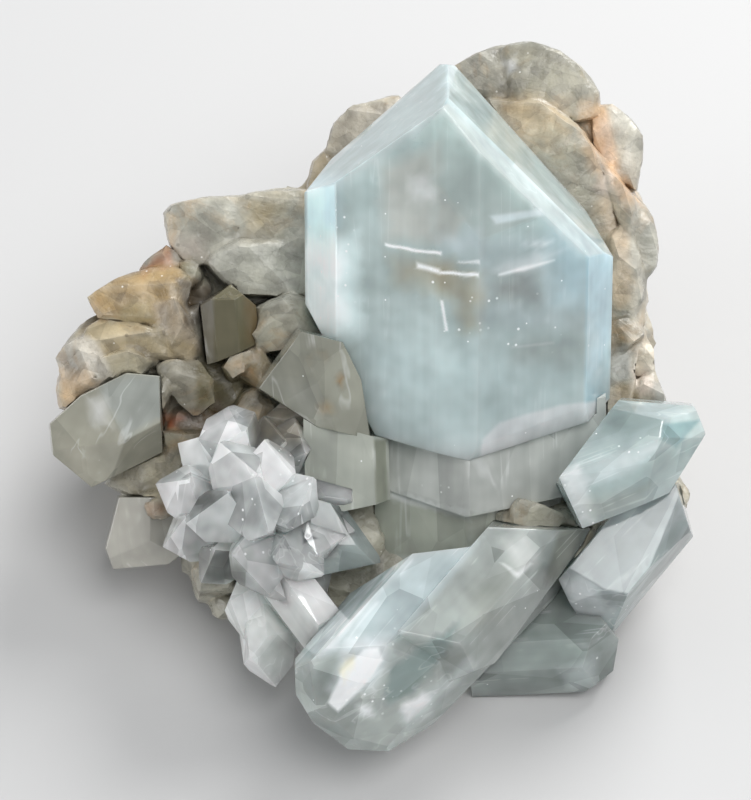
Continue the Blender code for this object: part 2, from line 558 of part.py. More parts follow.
def feldspar_matrix():
    """The feldspar rock that everything grows on: blocky crystals and lumps grown into one piece."""
    # outline in the view, height toward the eye, depth, flare, faces of the front
    crystals = (
        # brown group at the left
        (((86, 297), (108, 281), (150, 267), (178, 262), (192, 283), (186, 314), (152, 325), (98, 318)),
         -3.6, 12.0, -6.0, ((0.06, -0.1, 0.0), (0.1, -1.1, 1.0), (-0.7, 0.1, 2.6))),
        (((138, 271), (150, 256), (166, 244), (182, 252), (186, 266), (160, 274)),
         -6.4, 8.0, -6.0, ((0.3, 0.2, 0.0), (-0.5, -0.3, 0.3))),
        (((153, 306), (174, 299), (188, 318), (200, 352), (190, 361), (170, 346), (152, 326)),
         -2.4, 10.0, 8.0, ((0.2, 0.1, 0.0), (-0.5, 0.5, 0.4), (0.9, 0.0, 0.9))),
        (((84, 328), (100, 318), (150, 325), (182, 345), (192, 359), (150, 362), (104, 362), (77, 346)),
         -3.4, 12.0, -6.0, ((0.08, 0.3, 0.0), (0.2, -0.5, 0.7), (-0.5, 0.0, 1.9))),
        (((54, 358), (65, 344), (80, 335), (98, 343), (113, 381), (98, 393), (76, 392), (60, 376)),
         -3.6, 10.0, -8.0, ((0.35, 0.1, 0.0), (-0.35, -0.2, 0.5), (0.1, 0.9, 1.5))),
        (((101, 359), (128, 350), (152, 362), (134, 376), (112, 383)),
         -2.2, 8.0, 10.0, ((0.2, 0.4, 0.0), (-0.6, 0.5, 0.2))),
        (((62, 374), (82, 372), (88, 396), (78, 410), (62, 406), (58, 390)),
         -4.6, 8.0, 2.0, ((0.2, 0.3, 0.0), (-0.5, 0.0, 0.2))),
        (((138, 366), (160, 361), (198, 359), (212, 378), (214, 402), (198, 415), (164, 417), (158, 384)),
         -2.8, 6.0, -6.0, ((0.02, 0.3, 0.0), (0.7, 0.2, 1.2), (-0.2, -0.5, 1.0))),
        (((150, 376), (166, 378), (168, 396), (162, 408), (150, 402)),
         -1.6, 6.0, 6.0, ((0.5, 0.3, 0.0), (-0.4, -0.5, 0.2))),
        (((196, 352), (232, 364), (262, 380), (262, 396), (240, 402), (238, 426), (208, 432), (196, 410)),
         -5.6, 9.0, 10.0, ((0.25, 0.25, 0.0), (-0.4, -0.4, 0.6), (0.5, 0.7, 0.8))),
        (((160, 410), (238, 402), (240, 434), (160, 432)),
         -7.4, 7.0, 6.0, ((0.1, 0.6, 0.0),)),
        (((236, 413), (248, 392), (261, 390), (277, 415), (256, 431), (241, 427)),
         -0.6, 8.0, 6.0, ((0.1, 0.3, 0.0), (-0.5, 0.5, 0.5), (0.6, 0.1, 0.6))),
        (((240, 375), (256, 346), (271, 364), (262, 389)),
         -1.4, 7.0, 6.0, ((0.5, 0.3, 0.0), (-0.5, -0.2, 0.3))),
        (((226, 367), (237, 348), (250, 341), (253, 352), (247, 370), (233, 378)),
         -0.8, 7.0, 6.0, ((0.5, 0.1, 0.0), (-0.5, -0.3, 0.1))),
        (((180, 264), (196, 262), (200, 276), (198, 284), (184, 284)),
         -5.6, 7.0, 6.0, ((0.2, 0.4, 0.0), (-0.3, -0.7, 0.3))),
        (((176, 280), (206, 276), (212, 296), (204, 318), (184, 330)),
         -8.2, 7.0, 0.0, ((0.3, 0.3, 0.0),)),
        (((184, 316), (200, 306), (204, 350), (198, 358), (190, 340)),
         -4.4, 7.0, 6.0, ((0.7, 0.1, 0.0), (-0.5, 0.2, 0.2))),
        # block under the milky crystal
        (((148, 432), (209, 434), (204, 466), (184, 498), (150, 502), (112, 482)),
         -3.2, 10.0, 4.0, ((0.25, 0.2, 0.0), (-0.4, 0.5, 0.8), (0.9, 0.3, 2.0))),
        (((170, 498), (196, 480), (204, 520), (196, 548), (172, 530)),
         -4.6, 9.0, 4.0, ((0.3, 0.3, 0.0), (-0.4, -0.2, 0.4))),
        # grey-green mass at the upper left
        (((165, 214), (172, 206), (204, 199), (246, 197), (252, 232), (216, 264), (190, 264), (170, 244)),
         -6.0, 12.0, 0.0, ((0.14, 0.06, 0.0), (0.05, -0.32, 1.0), (-0.9, 0.2, 3.4))),
        (((240, 197), (275, 191), (306, 190), (324, 200), (324, 250), (264, 264), (232, 246)),
         -5.2, 12.0, 0.0, ((0.05, 0.1, 0.0), (0.0, -0.4, 1.2), (0.3, 0.3, 0.8))),
        (((204, 262), (236, 240), (286, 242), (326, 254), (326, 300), (262, 312), (240, 292), (206, 290)),
         -4.4, 12.0, 4.0, ((0.1, 0.16, 0.0), (-0.25, -0.2, 0.6), (0.3, -0.1, 1.4))),
        (((254, 312), (290, 296), (308, 302), (330, 340), (300, 345), (272, 364), (252, 345)),
         -1.0, 10.0, 4.0, ((0.1, 0.35, 0.0), (-0.5, 0.1, 1.0), (0.5, -0.3, 1.2))),
        # ridge behind the large topaz, left end to right end
        (((308, 188), (314, 162), (330, 147), (348, 158), (340, 208), (312, 208)),
         -9.4, 10.0, 0.0, ((0.3, -0.2, 0.0), (-0.5, 0.2, 0.6))),
        (((328, 150), (335, 124), (354, 107), (398, 97), (408, 130), (350, 182)),
         -8.8, 10.0, 0.0, ((0.1, -0.2, 0.0), (-0.5, 0.0, 1.2), (0.0, -1.0, 1.8))),
        (((456, 66), (478, 54), (504, 46), (514, 80), (510, 108), (482, 96)),
         -10.4, 9.0, 0.0, ((0.2, -0.2, 0.0), (-0.2, -0.8, 1.0))),
        (((500, 48), (530, 43), (560, 52), (580, 68), (598, 92), (598, 116), (560, 122), (510, 106)),
         -8.6, 11.0, 0.0, ((0.02, -0.12, 0.0), (0.4, -0.5, 1.8), (-0.3, -0.7, 2.0), (0.9, 0.2, 4.0))),
        (((496, 104), (540, 106), (580, 132), (604, 172), (616, 232), (610, 250), (560, 190), (510, 130)),
         -4.8, 12.0, 6.0, ((-0.1, 0.12, 0.0), (0.3, -0.3, 1.2), (-0.1, -0.6, 3.4))),
        (((556, 104), (600, 104), (612, 138), (634, 180), (638, 214), (622, 262), (600, 180), (574, 126)),
         -5.6, 12.0, 4.0, ((0.2, 0.0, 0.0), (0.6, -0.1, 1.6), (-0.4, -0.3, 1.8))),
        (((593, 109), (612, 105), (631, 120), (641, 136), (640, 160), (636, 190), (614, 178), (594, 143)),
         -7.8, 11.0, 0.0, ((0.2, -0.1, 0.0), (0.8, 0.1, 1.5), (-0.3, -0.6, 1.4))),
        (((622, 206), (642, 203), (652, 218), (658, 240), (655, 266), (641, 283), (626, 266), (620, 232)),
         -6.4, 10.0, 0.0, ((0.1, 0.1, 0.0), (0.7, 0.1, 1.4), (-0.2, -0.7, 1.6))),
        (((608, 236), (626, 224), (640, 262), (642, 300), (632, 322), (608, 324)),
         -5.0, 10.0, 4.0, ((0.1, 0.2, 0.0), (0.7, 0.0, 1.0), (-0.3, -0.3, 0.9))),
        (((634, 288), (645, 286), (648, 308), (646, 328), (632, 328)),
         -6.6, 8.0, -8.0, ((0.2, 0.1, 0.0), (0.7, -0.4, 0.5))),
        (((604, 324), (632, 318), (642, 334), (622, 352), (604, 352)),
         -3.8, 9.0, 6.0, ((0.3, 0.1, 0.0), (-0.3, -0.5, 0.5))),
        (((602, 352), (626, 352), (632, 370), (618, 388), (602, 388)),
         -4.6, 8.0, 6.0, ((0.4, 0.3, 0.0), (-0.4, -0.3, 0.4))),
        (((628, 334), (645, 330), (652, 350), (655, 382), (630, 374)),
         -5.2, 8.0, -8.0, ((0.3, 0.1, 0.0), (-0.4, -0.4, 0.6))),
        (((626, 386), (640, 374), (654, 370), (664, 394), (664, 405), (610, 405), (606, 396)),
         -3.8, 9.0, -4.0, ((0.1, 0.3, 0.0), (0.6, -0.2, 0.9), (-0.3, -0.5, 0.8))),
        (((650, 384), (660, 384), (667, 396), (666, 405), (650, 405)),
         -7.6, 7.0, -8.0, ((0.2, 0.2, 0.0),)),
    )
    lumps = (
        # place in the view, height toward the eye, width, height and depth in millimetres, turn
        (157, 507, -0.5, 3.4, 3.0, 5.0, 20), (172, 525, -4.0, 6.0, 6.0, 8.0, 15),
        (400, 128, -12.0, 6.0, 5.4, 9.0, 30), (192, 442, -5.0, 8.0, 8.0, 8.0, 8),
        (92, 350, -8.0, 6.0, 6.2, 6.0, 30), (160, 320, -9.0, 12.0, 9.0, 6.0, 8),
        (560, 160, -9.0, 12.0, 9.0, 8.0, -50), (615, 230, -9.0, 8.0, 12.0, 8.0, 10),
        (618, 340, -9.0, 6.0, 14.0, 7.0, 5), (480, 100, -14.0, 9.0, 8.0, 8.0, 0),
        (586, 129, -10.5, 5.0, 4.6, 8.0, 10), (552, 602, -4.5, 6.0, 7.0, 6.0, 0),
        # between the pedestal, the front topaz and the right-hand crystals
        (528, 532, 4.2, 8.0, 6.0, 8.0, -12), (560, 540, 3.0, 6.6, 8.0, 9.0, -30),
        (355, 540, 0.5, 7.6, 8.0, 9.0, 10), (330, 590, -1.0, 6.4, 7.0, 8.0, 20),
        (668, 505, -2.0, 4.6, 6.6, 8.0, -10), (640, 480, -3.0, 6.0, 8.0, 8.0, 20),
        # small crystals under the cluster
        (216, 578, -2.0, 5.6, 4.8, 8.0, 10), (228, 606, -3.5, 4.0, 2.6, 7.0, 5),
        (205, 545, -4.0, 6.0, 7.0, 8.0, 12),
    )
    blocks = [rock_crystal(*place, seed=number) for number, place in enumerate(crystals)]
    blocks += [lump(*place, seed=number) for number, place in enumerate(lumps)]
    return blocks + matrix_core() + matrix_flanks()


def matrix_core():
    """The body of the rock, from the lumps down to the cut base, given in the resting frame."""
    to_view = rest_matrix().inverted()

    def body(corners, low, high, flare):
        """Faces of an upright body over a ring of ground corners, leaning in by flare toward its top."""
        middle = Vector((0.0, 0.0, 0.0))
        for x, y in corners:
            middle += Vector((x, y, 0.0)) / len(corners)
        faces = [(Vector((0.0, 0.0, low)), Vector((0.0, 0.0, -1.0)))]
        faces.append((Vector((0.0, 0.0, high)), Vector((0.0, 0.0, 1.0))))
        for (x, y), (next_x, next_y) in zip(corners, corners[1:] + corners[:1]):
            start = Vector((x, y, low))
            wall = Vector((next_y - y, x - next_x, 0.0)).normalized()
            if (start - middle).dot(wall) < 0.0:
                wall = -wall
            wall.z = flare
            faces.append((start, wall.normalized()))
        return [(to_view @ (point * MM), to_view.to_3x3() @ normal) for point, normal in faces]

    left_limit = (seen(200, 350, -9.0), Vector((0.1, 0.25, 1.0)).normalized())
    right_limit = (seen(450, 500, -2.0), Vector((-0.1, 0.3, 1.0)).normalized())
    floor = -FLOOR_DROP / MM
    left = body([(-22, 2), (-16, -5), (-9, -11), (0, -14), (6, 10), (-2, 24), (-15, 21), (-23, 12)],
                floor - 2.0, 3.0, -0.22)
    left.append(left_limit)
    right = body([(-10, -12), (4, -16), (17, -13), (24, -2), (25, 14), (16, 28), (2, 30), (-10, 18)],
                 floor - 2.0, 8.0, -0.22)
    right.append(right_limit)
    back = body([(-5, 14), (24, 14), (26, 26), (19, 36), (5, 38), (-5, 30)], floor + 12.0, 16.0, -0.05)
    back.append((seen(450, 200, -13.0), Vector((0.0, 0.25, 1.0)).normalized()))
    return [left, right, back]


def matrix_flanks():
    """Rough blocks round the sides and back of the rock, placed in the resting frame."""
    to_view = rest_matrix().inverted()
    # place to the right, place back, height above the middle of the view, size, turn
    flanks = (
        (-22, 3, -19, 12, 10), (-23, 12, -18, 14, 40), (-17, 21, -18, 14, 15), (-5, 25, -19, 15, 60),
        (5, 30, -19, 15, 25), (16, 28, -19, 15, 70), (24, 17, -19, 15, 30), (25, 4, -19, 13, 5),
        (20, -8, -18, 11, 50), (-14, -5, -19, 11, 20), (-26, 8, -9, 12, 35), (-24, 18, -8, 13, 75),
        (-12, 24, -9, 13, 25), (0, 29, -8, 14, 55), (8, 36, -8, 14, 10), (18, 35, -7, 15, 45),
        (24, 24, -8, 14, 20), (25, 11, -8, 12, 65), (26, 0, -9, 11, 40), (-20, 20, -2, 9, 15),
        (-11, 27, -2, 10, 50), (2, 36, 2, 11, 30), (14, 41, 4, 12, 60), (23, 34, 2, 12, 15),
        (23, 21, -1, 10, 45), (24, 9, -2, 9, 70),
    )
    blocks = []
    for number, (x, y, z, size, turn) in enumerate(flanks):
        chance = random.Random(100 + number)
        centre = to_view @ (Vector((x, y, z)) * MM)
        sides = (size, size * chance.uniform(0.7, 0.95), size * chance.uniform(0.75, 1.0))
        blocks.append(rough_block(centre, sides, turn, chance, 7))
    return blocks


def ground_block():
    """Faces of the block below the ground, which every piece is cut flat by."""
    to_view = rest_matrix().inverted()
    level = Vector((0.0, 0.0, -FLOOR_DROP))
    return [(to_view @ level, to_view.to_3x3() @ Vector((0.0, 0.0, 1.0)))]


# Building

def collection(name):
    made = bpy.data.collections.new(name)
    bpy.context.scene.collection.children.link(made)
    return made


def add_object(name, solid, home):
    mesh = bpy.data.meshes.new(name)
    solid.to_mesh(mesh)
    solid.free()
    thing = bpy.data.objects.new(name, mesh)
    home.objects.link(thing)
    return thing


def hide_cutter(thing):
    thing.hide_render = True
    thing.display_type = "WIRE"


def grow_together(name, blocks, home, hidden, grow=0.0):
    """One solid from a list of convex blocks that overlap, each grown by grow."""
    thing = add_object(name, cleave(blocks[0], grow), home)
    if len(blocks) > 1:
        others = bpy.data.collections.new(name + "_blocks")
        hidden.children.link(others)
        for number, faces in enumerate(blocks[1:]):
            hide_cutter(add_object(f"{name}_block_{number}", cleave(faces, grow), others))
        modifier = thing.modifiers.new("grown together", "BOOLEAN")
        modifier.operation = "UNION"
        modifier.solver = "EXACT"
        modifier.operand_type = "COLLECTION"
        modifier.collection = others
        apply_modifiers(thing)
    return thing


def carve(thing, cutters):
    """Boolean difference of a crystal and its neighbours' grown copies, one after the other."""
    for cutter in cutters:
        modifier = thing.modifiers.new("room for " + cutter.name, "BOOLEAN")
        modifier.operation = "DIFFERENCE"
        modifier.solver = "EXACT"
        modifier.object = cutter
    apply_modifiers(thing)


def apply_modifiers(thing):
    bpy.context.view_layer.update()
    evaluated = thing.evaluated_get(bpy.context.evaluated_depsgraph_get())
    mesh = bpy.data.meshes.new_from_object(evaluated)
    thing.modifiers.clear()
    thing.data = mesh


def largest_piece(solid):
    """Drops the chips that a cut leaves loose, and keeps the crystal itself."""
    left = set(solid.faces)
    groups = []
    while left:
        start = left.pop()
        group = [start]
        waiting = [start]
        while waiting:
            for edge in waiting.pop().edges:
                for face in edge.link_faces:
                    if face in left:
                        left.remove(face)
                        group.append(face)
                        waiting.append(face)
        groups.append(group)
    groups.sort(key=lambda group: sum(face.calc_area() for face in group))
    loose = [face for group in groups[:-1] for face in group]
    bmesh.ops.delete(solid, geom=loose, context="FACES")


def merge_corners(solid):
    """Joins corners that almost touch, by the largest distance that leaves the surface closed."""
    for distance in (SAME_CORNER, SAME_CORNER / 4.0):
        merged = solid.copy()
        bmesh.ops.remove_doubles(merged, verts=merged.verts[:], dist=distance)
        if all(len(edge.link_faces) == 2 for edge in merged.edges):
            solid.free()
            return merged
        merged.free()
    return solid


def settle(thing, place):
    """Moves a piece into the resting frame and tidies its corners and faces."""
    solid = bmesh.new()
    solid.from_mesh(thing.data)
    solid.transform(place)
    solid = merge_corners(solid)
    largest_piece(solid)
    flat = radians(FLAT_ANGLE)
    bmesh.ops.dissolve_limit(solid, angle_limit=flat, verts=solid.verts[:], edges=solid.edges[:])
    bmesh.ops.triangulate(solid, faces=solid.faces[:])
    bmesh.ops.recalc_face_normals(solid, faces=solid.faces[:])
    solid.to_mesh(thing.data)
    solid.free()


def material(name, color, roughness, transmission=0.0, ior=1.5):
    """A plain material with the piece's colour."""
    made = bpy.data.materials.new(name)
    made.use_nodes = True
    shader = made.node_tree.nodes["Principled BSDF"]
    shader.inputs["Base Color"].default_value = (*color, 1.0)
    shader.inputs["Roughness"].default_value = roughness
    shader.inputs["Transmission Weight"].default_value = transmission
    shader.inputs["IOR"].default_value = ior
    made.diffuse_color = (*color, 1.0)
    return made


# name, function, colour, roughness, share of light let through
PIECES = (
    ("main_topaz", main_topaz, (0.62, 0.78, 0.82), 0.05, 0.9),
    ("front_topaz", front_topaz, (0.66, 0.72, 0.72), 0.08, 0.8),
    ("right_topaz", right_topaz, (0.55, 0.64, 0.65), 0.06, 0.8),
    ("lower_right_topaz", lower_right_topaz, (0.6, 0.66, 0.68), 0.06, 0.8),
    ("corner_topaz", corner_topaz, (0.38, 0.46, 0.45), 0.08, 0.8),
    ("sparkling_cluster", sparkling_cluster, (0.82, 0.84, 0.84), 0.05, 0.8),
    ("wing_crystal", wing_crystal, (0.66, 0.73, 0.73), 0.08, 0.8),
    ("lower_left_crystals", lower_left_crystals, (0.7, 0.74, 0.73), 0.06, 0.8),
    ("left_crystal", left_crystal, (0.66, 0.67, 0.63), 0.2, 0.5),
    ("low_left_crystal", low_left_crystal, (0.55, 0.55, 0.49), 0.25, 0.4),
    ("pedestal_crystal", pedestal_crystal, (0.6, 0.62, 0.58), 0.2, 0.4),
    ("grey_crystal", grey_crystal, (0.52, 0.54, 0.48), 0.2, 0.4),
    ("block_crystal", block_crystal, (0.5, 0.52, 0.45), 0.2, 0.4),
    ("small_grey_prism", small_grey_prism, (0.5, 0.5, 0.42), 0.2, 0.4),
    ("feldspar_matrix", feldspar_matrix, (0.52, 0.46, 0.36), 0.5, 0.1),
)


def model_pieces():
    """Models every piece, the first in the list whole and each later one cut by those before it."""
    home = collection(OBJECT_NAME)
    hidden = collection("cutters")
    place = rest_matrix()
    cutters = [add_object("ground", cleave(ground_block()), hidden)]
    pieces = []
    for name, shape, color, roughness, clear in PIECES:
        blocks = shape()
        thing = grow_together(name, blocks, home, hidden)
        carve(thing, cutters)
        settle(thing, place)
        thing.data.materials.append(material(name, color, roughness, clear))
        cutters.append(grow_together(name + "_room", blocks, hidden, hidden, GAP))
        hide_cutter(cutters[-1])
        pieces.append(thing)
    hide_cutter(cutters[0])
    return pieces


def remove_cutters():
    for thing in [item for item in bpy.data.objects if item.hide_render]:
        bpy.data.objects.remove(thing, do_unlink=True)


def centre(pieces):
    """Centres the specimen over the origin, its cut base on the ground."""
    low = Vector((1.0, 1.0, 0.0))
    high = Vector((-1.0, -1.0, 0.0))
    for thing in pieces:
        for corner in thing.data.vertices:
            for axis in range(2):
                low[axis] = min(low[axis], corner.co[axis])
                high[axis] = max(high[axis], corner.co[axis])
    shift = Vector((-(low.x + high.x) / 2.0, -(low.y + high.y) / 2.0, FLOOR_DROP))
    for thing in pieces:
        thing.data.transform(Matrix.Translation(shift))
    return shift


def main():
    for thing in list(bpy.data.objects):
        bpy.data.objects.remove(thing, do_unlink=True)
    pieces = model_pieces()
    remove_cutters()
    shift = centre(pieces)
    print("moved by", [round(value * 1000.0, 3) for value in shift])


if __name__ == "__main__":
    main()
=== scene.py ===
"""Topaz specimen on feldspar: its looks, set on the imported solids. Lengths are in metres."""

import bmesh
import bpy
import numpy as np
import random
from math import cos, radians, sin
from mathutils import Matrix, Vector, noise
from mathutils.kdtree import KDTree


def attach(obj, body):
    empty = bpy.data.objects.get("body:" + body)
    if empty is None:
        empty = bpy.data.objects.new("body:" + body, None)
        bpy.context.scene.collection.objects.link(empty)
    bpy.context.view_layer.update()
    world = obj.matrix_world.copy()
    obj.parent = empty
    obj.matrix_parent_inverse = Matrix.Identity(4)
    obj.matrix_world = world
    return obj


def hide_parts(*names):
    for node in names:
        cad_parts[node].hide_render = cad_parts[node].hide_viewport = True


MM = 0.001

# The photograph's view, as the solids were read from it
EYE_DISTANCE = 383.0 * MM
VIEW_ELEVATION = 50.0
VIEW_CENTRE = Vector((0.307, -6.634, 25.0)) * MM
PICTURE = (751.0, 800.0)
PIXEL = 75.0 * MM / 653.0
LEAN_BACK = Matrix.Rotation(radians(90.0 - VIEW_ELEVATION), 4, "X")
EYE = LEAN_BACK @ Vector((0.0, 0.0, EYE_DISTANCE)) + VIEW_CENTRE

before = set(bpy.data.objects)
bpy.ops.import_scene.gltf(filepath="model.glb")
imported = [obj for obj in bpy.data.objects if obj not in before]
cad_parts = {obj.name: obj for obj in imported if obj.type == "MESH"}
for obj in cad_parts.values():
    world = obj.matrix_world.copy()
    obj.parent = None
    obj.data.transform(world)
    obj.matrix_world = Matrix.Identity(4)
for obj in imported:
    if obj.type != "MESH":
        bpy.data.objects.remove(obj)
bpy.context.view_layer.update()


def seen(px, py, toward):
    """The point seen at a pixel, at a height toward the eye in millimetres, in the row frame."""
    z = toward * MM
    scale = PIXEL * (EYE_DISTANCE - z) / EYE_DISTANCE
    point = Vector(((px - PICTURE[0] / 2.0) * scale, (PICTURE[1] / 2.0 - py) * scale, z))
    return LEAN_BACK @ point + VIEW_CENTRE


def axis_matrix(bearing, lean):
    """Rotation from a crystal's own frame, with Z along its axis, into the row frame."""
    turn = radians(bearing)
    rise = radians(lean)
    axis = Vector((cos(turn) * cos(rise), sin(turn) * cos(rise), sin(rise)))
    front = Vector((-cos(turn) * sin(rise), -sin(turn) * sin(rise), cos(rise)))
    side = front.cross(axis)
    own = Matrix((side, -front, axis)).transposed()
    return LEAN_BACK.to_3x3() @ own


# Node trees

class Tree:
    """Short forms for building a material's nodes."""

    def __init__(self, name):
        self.material = bpy.data.materials.new(name)
        self.material.use_nodes = True
        self.tree = self.material.node_tree
        self.tree.nodes.clear()
        self.out = self.tree.nodes.new("ShaderNodeOutputMaterial")
        self.coordinates = self.node("TexCoord").outputs["Object"]

    def node(self, kind, **values):
        made = self.tree.nodes.new("ShaderNode" + kind)
        for key, value in values.items():
            setattr(made, key, value)
        return made

    def put(self, socket, value):
        """Links an output to an input, or sets the input's own value."""
        if isinstance(value, bpy.types.NodeSocket):
            self.tree.links.new(value, socket)
        elif value is not None:
            socket.default_value = value

    def place(self, matrix=None, stretch=(1.0, 1.0, 1.0)):
        """Object coordinates, turned into a crystal's own frame and stretched."""
        made = self.coordinates
        if matrix is not None:
            turned = self.node("Mapping")
            self.put(turned.inputs["Vector"], made)
            turned.inputs["Rotation"].default_value = matrix.inverted().to_euler("XYZ")
            made = turned.outputs["Vector"]
        scaled = self.node("Mapping")
        self.put(scaled.inputs["Vector"], made)
        scaled.inputs["Scale"].default_value = stretch
        return scaled.outputs["Vector"]

    def noise(self, where, scale, detail=4.0, rough=0.55, distort=0.0):
        made = self.node("TexNoise")
        self.put(made.inputs["Vector"], where)
        made.inputs["Scale"].default_value = scale
        made.inputs["Detail"].default_value = detail
        made.inputs["Roughness"].default_value = rough
        made.inputs["Distortion"].default_value = distort
        return made.outputs["Fac"]

    def cells(self, where, scale, output="Color", feature="F1"):
        made = self.node("TexVoronoi", feature=feature)
        self.put(made.inputs["Vector"], where)
        made.inputs["Scale"].default_value = scale
        return made.outputs[output]

    def flecks(self, where, scale, size, share):
        """Small spots, one in a share of the cells of a pattern of scale cells a metre, size in millimetres."""
        made = self.node("TexVoronoi", feature="F1")
        self.put(made.inputs["Vector"], where)
        made.inputs["Scale"].default_value = scale
        reach = size * MM * scale
        spot = self.remap(made.outputs["Distance"], reach, reach * 0.6)
        pick = self.node("SeparateColor")
        self.put(pick.inputs["Color"], made.outputs["Color"])
        kept = self.math("LESS_THAN", pick.outputs["Red"], share)
        return self.math("MULTIPLY", spot, kept)

    def ramp(self, value, stops):
        """A colour ramp, its stops given as (position, colour)."""
        made = self.node("ValToRGB")
        self.put(made.inputs["Fac"], value)
        band = made.color_ramp
        while len(band.elements) < len(stops):
            band.elements.new(0.5)
        for element, (position, color) in zip(band.elements, stops):
            element.position = position
            element.color = (*color, 1.0) if len(color) == 3 else color
        return made.outputs["Color"]

    def remap(self, value, low, high, to_low=0.0, to_high=1.0):
        made = self.node("MapRange")
        self.put(made.inputs["Value"], value)
        made.inputs["From Min"].default_value = low
        made.inputs["From Max"].default_value = high
        made.inputs["To Min"].default_value = to_low
        made.inputs["To Max"].default_value = to_high
        return made.outputs["Result"]

    def math(self, operation, first, second=0.0):
        made = self.node("Math", operation=operation)
        self.put(made.inputs[0], first)
        self.put(made.inputs[1], second)
        return made.outputs[0]

    def mix(self, share, first, second, blend="MIX"):
        """Mixes two colours."""
        made = self.node("Mix", data_type="RGBA", blend_type=blend)
        self.put(made.inputs["Factor"], share)
        self.put(made.inputs[6], (*first, 1.0) if isinstance(first, tuple) else first)
        self.put(made.inputs[7], (*second, 1.0) if isinstance(second, tuple) else second)
        return made.outputs[2]

    def scale(self, color, share):
        """A colour made darker or lighter by a share."""
        made = self.node("VectorMath", operation="SCALE")
        self.put(made.inputs[0], color)
        self.put(made.inputs["Scale"], share)
        return made.outputs["Vector"]

    def column(self, name):
        return self.node("Attribute", attribute_name=name).outputs["Fac"]

    def bump(self, height, strength, distance, normal=None):
        made = self.node("Bump")
        self.put(made.inputs["Height"], height)
        made.inputs["Strength"].default_value = strength
        made.inputs["Distance"].default_value = distance
        if normal is not None:
            self.put(made.inputs["Normal"], normal)
        return made.outputs["Normal"]

    def surface(self, shader):
        self.put(self.out.inputs["Surface"], shader)

    def principled(self, **values):
        made = self.node("BsdfPrincipled")
        for key, value in values.items():
            self.put(made.inputs[key.replace("_", " ")], value)
        return made

    def absorb(self, color, density):
        """Light lost on the way through, given by a colour and a density per metre."""
        made = self.node("VolumeAbsorption")
        made.inputs["Color"].default_value = (*color, 1.0)
        made.inputs["Density"].default_value = density
        self.put(self.out.inputs["Volume"], made.outputs["Volume"])




def crystal(name, bearing, lean, tint, density, ior=1.62, roughness=0.02, body=(0.8, 0.84, 0.84), glow=5.0,
            lines=0.2, facets=0.12, cloud=0.06, panes=0.08, white=0.3, veils=0.25, dense=False):
    """Clear crystal: partly see-through, with a haze in its body, growth lines, breaks and flecks.

    facets is how much its flat faces differ in tone, cloud how patchy its haze is, panes how much flat
    breaks inside it show, white how many white flecks it holds, and veils how much thin cracks show.
    """
    t = Tree(name)
    own = axis_matrix(bearing, lean)
    along = t.place(own, (1.0, 1.0, 0.06))
    plain = t.coordinates
    streaks = t.noise(along, 900.0, 1.0, 0.6)
    mist = t.noise(plain, 180.0, 2.0, 0.6)
    veil = t.math("ABSOLUTE", t.math("SUBTRACT", t.noise(along, 240.0, 2.5, 0.6, 0.4), 0.5))
    veil = t.math("MULTIPLY", t.remap(veil, 0.016, 0.002), t.remap(mist, 0.47, 0.56))

    tone = t.remap(t.column("facet"), 0.0, 1.0, 1.0 - facets, 1.0 + facets * 0.4)
    tone = t.math("ADD", tone, t.remap(mist, 0.3, 0.7, -cloud, cloud))
    tone = t.math("ADD", tone, t.remap(streaks, 0.35, 0.65, -0.03, 0.03))
    through = t.math("ADD", t.column("clear"), t.remap(mist, 0.3, 0.7, 1.5 * cloud, -1.5 * cloud))
    if panes:
        planes = t.node("SeparateColor")
        t.put(planes.inputs["Color"], t.cells(t.place(own, (1.0, 1.0, 0.4)), 230.0))
        tone = t.math("ADD", tone, t.remap(planes.outputs["Red"], 0.0, 1.0, -panes, panes))
        through = t.math("ADD", through, t.remap(planes.outputs["Green"], 0.0, 1.0, -1.5 * panes, 1.5 * panes))
    painted = t.node("Attribute", attribute_name="tint").outputs["Color"]
    color = t.scale(t.mix(t.column("tinted"), body, painted), tone)
    spots = t.flecks(plain, 760.0, 0.12, 0.16 * white)
    if dense:
        close = t.math("MULTIPLY", t.column("sparkle"), t.flecks(plain, 950.0, 0.2, 0.5))
        spots = t.math("MAXIMUM", spots, close)
    spots = t.math("MAXIMUM", spots, t.math("MULTIPLY", veil, veils))
    color = t.mix(t.math("MULTIPLY", spots, 0.9), color, (0.97, 0.98, 0.98))
    through = t.remap(t.math("MULTIPLY", through, t.remap(spots, 0.0, 1.0, 1.0, 0.1)), 0.0, 1.0)
    shader = t.principled(
        Base_Color=color,
        Roughness=t.remap(mist, 0.35, 0.75, roughness, roughness + 0.12),
        IOR=ior,
        Transmission_Weight=through,
        Subsurface_Weight=1.0 if glow else 0.0,
        Subsurface_Radius=(0.9, 1.0, 1.0),
        Subsurface_Scale=glow * MM,
        Normal=t.bump(streaks, lines, 0.06 * MM) if lines else None,
    )
    t.surface(shader.outputs["BSDF"])
    t.absorb(tint, density)
    return t.material


# Shapes

def soft_step(value, low, high):
    return np.clip((value - low) / (high - low), 0.0, 1.0)


def depth_inside(shape, points):
    """How far points lie inside a shape of the view, in metres, negative outside it.

    A shape is a convex outline of pixels, clockwise, or a spot given as (x, y, toward, radius).
    """
    if not isinstance(shape[0], tuple):
        px, py, toward, radius = shape
        return radius * MM - np.linalg.norm(points - np.array(seen(px, py, toward)), axis=1)
    level = np.full(len(points), 1.0)
    for first, second in zip(shape, shape[1:] + shape[:1]):
        across = (seen(*first, 0.0) - EYE).cross(seen(*second, 0.0) - EYE).normalized()
        level = np.minimum(level, points @ np.array(across) - EYE.dot(across))
    return level


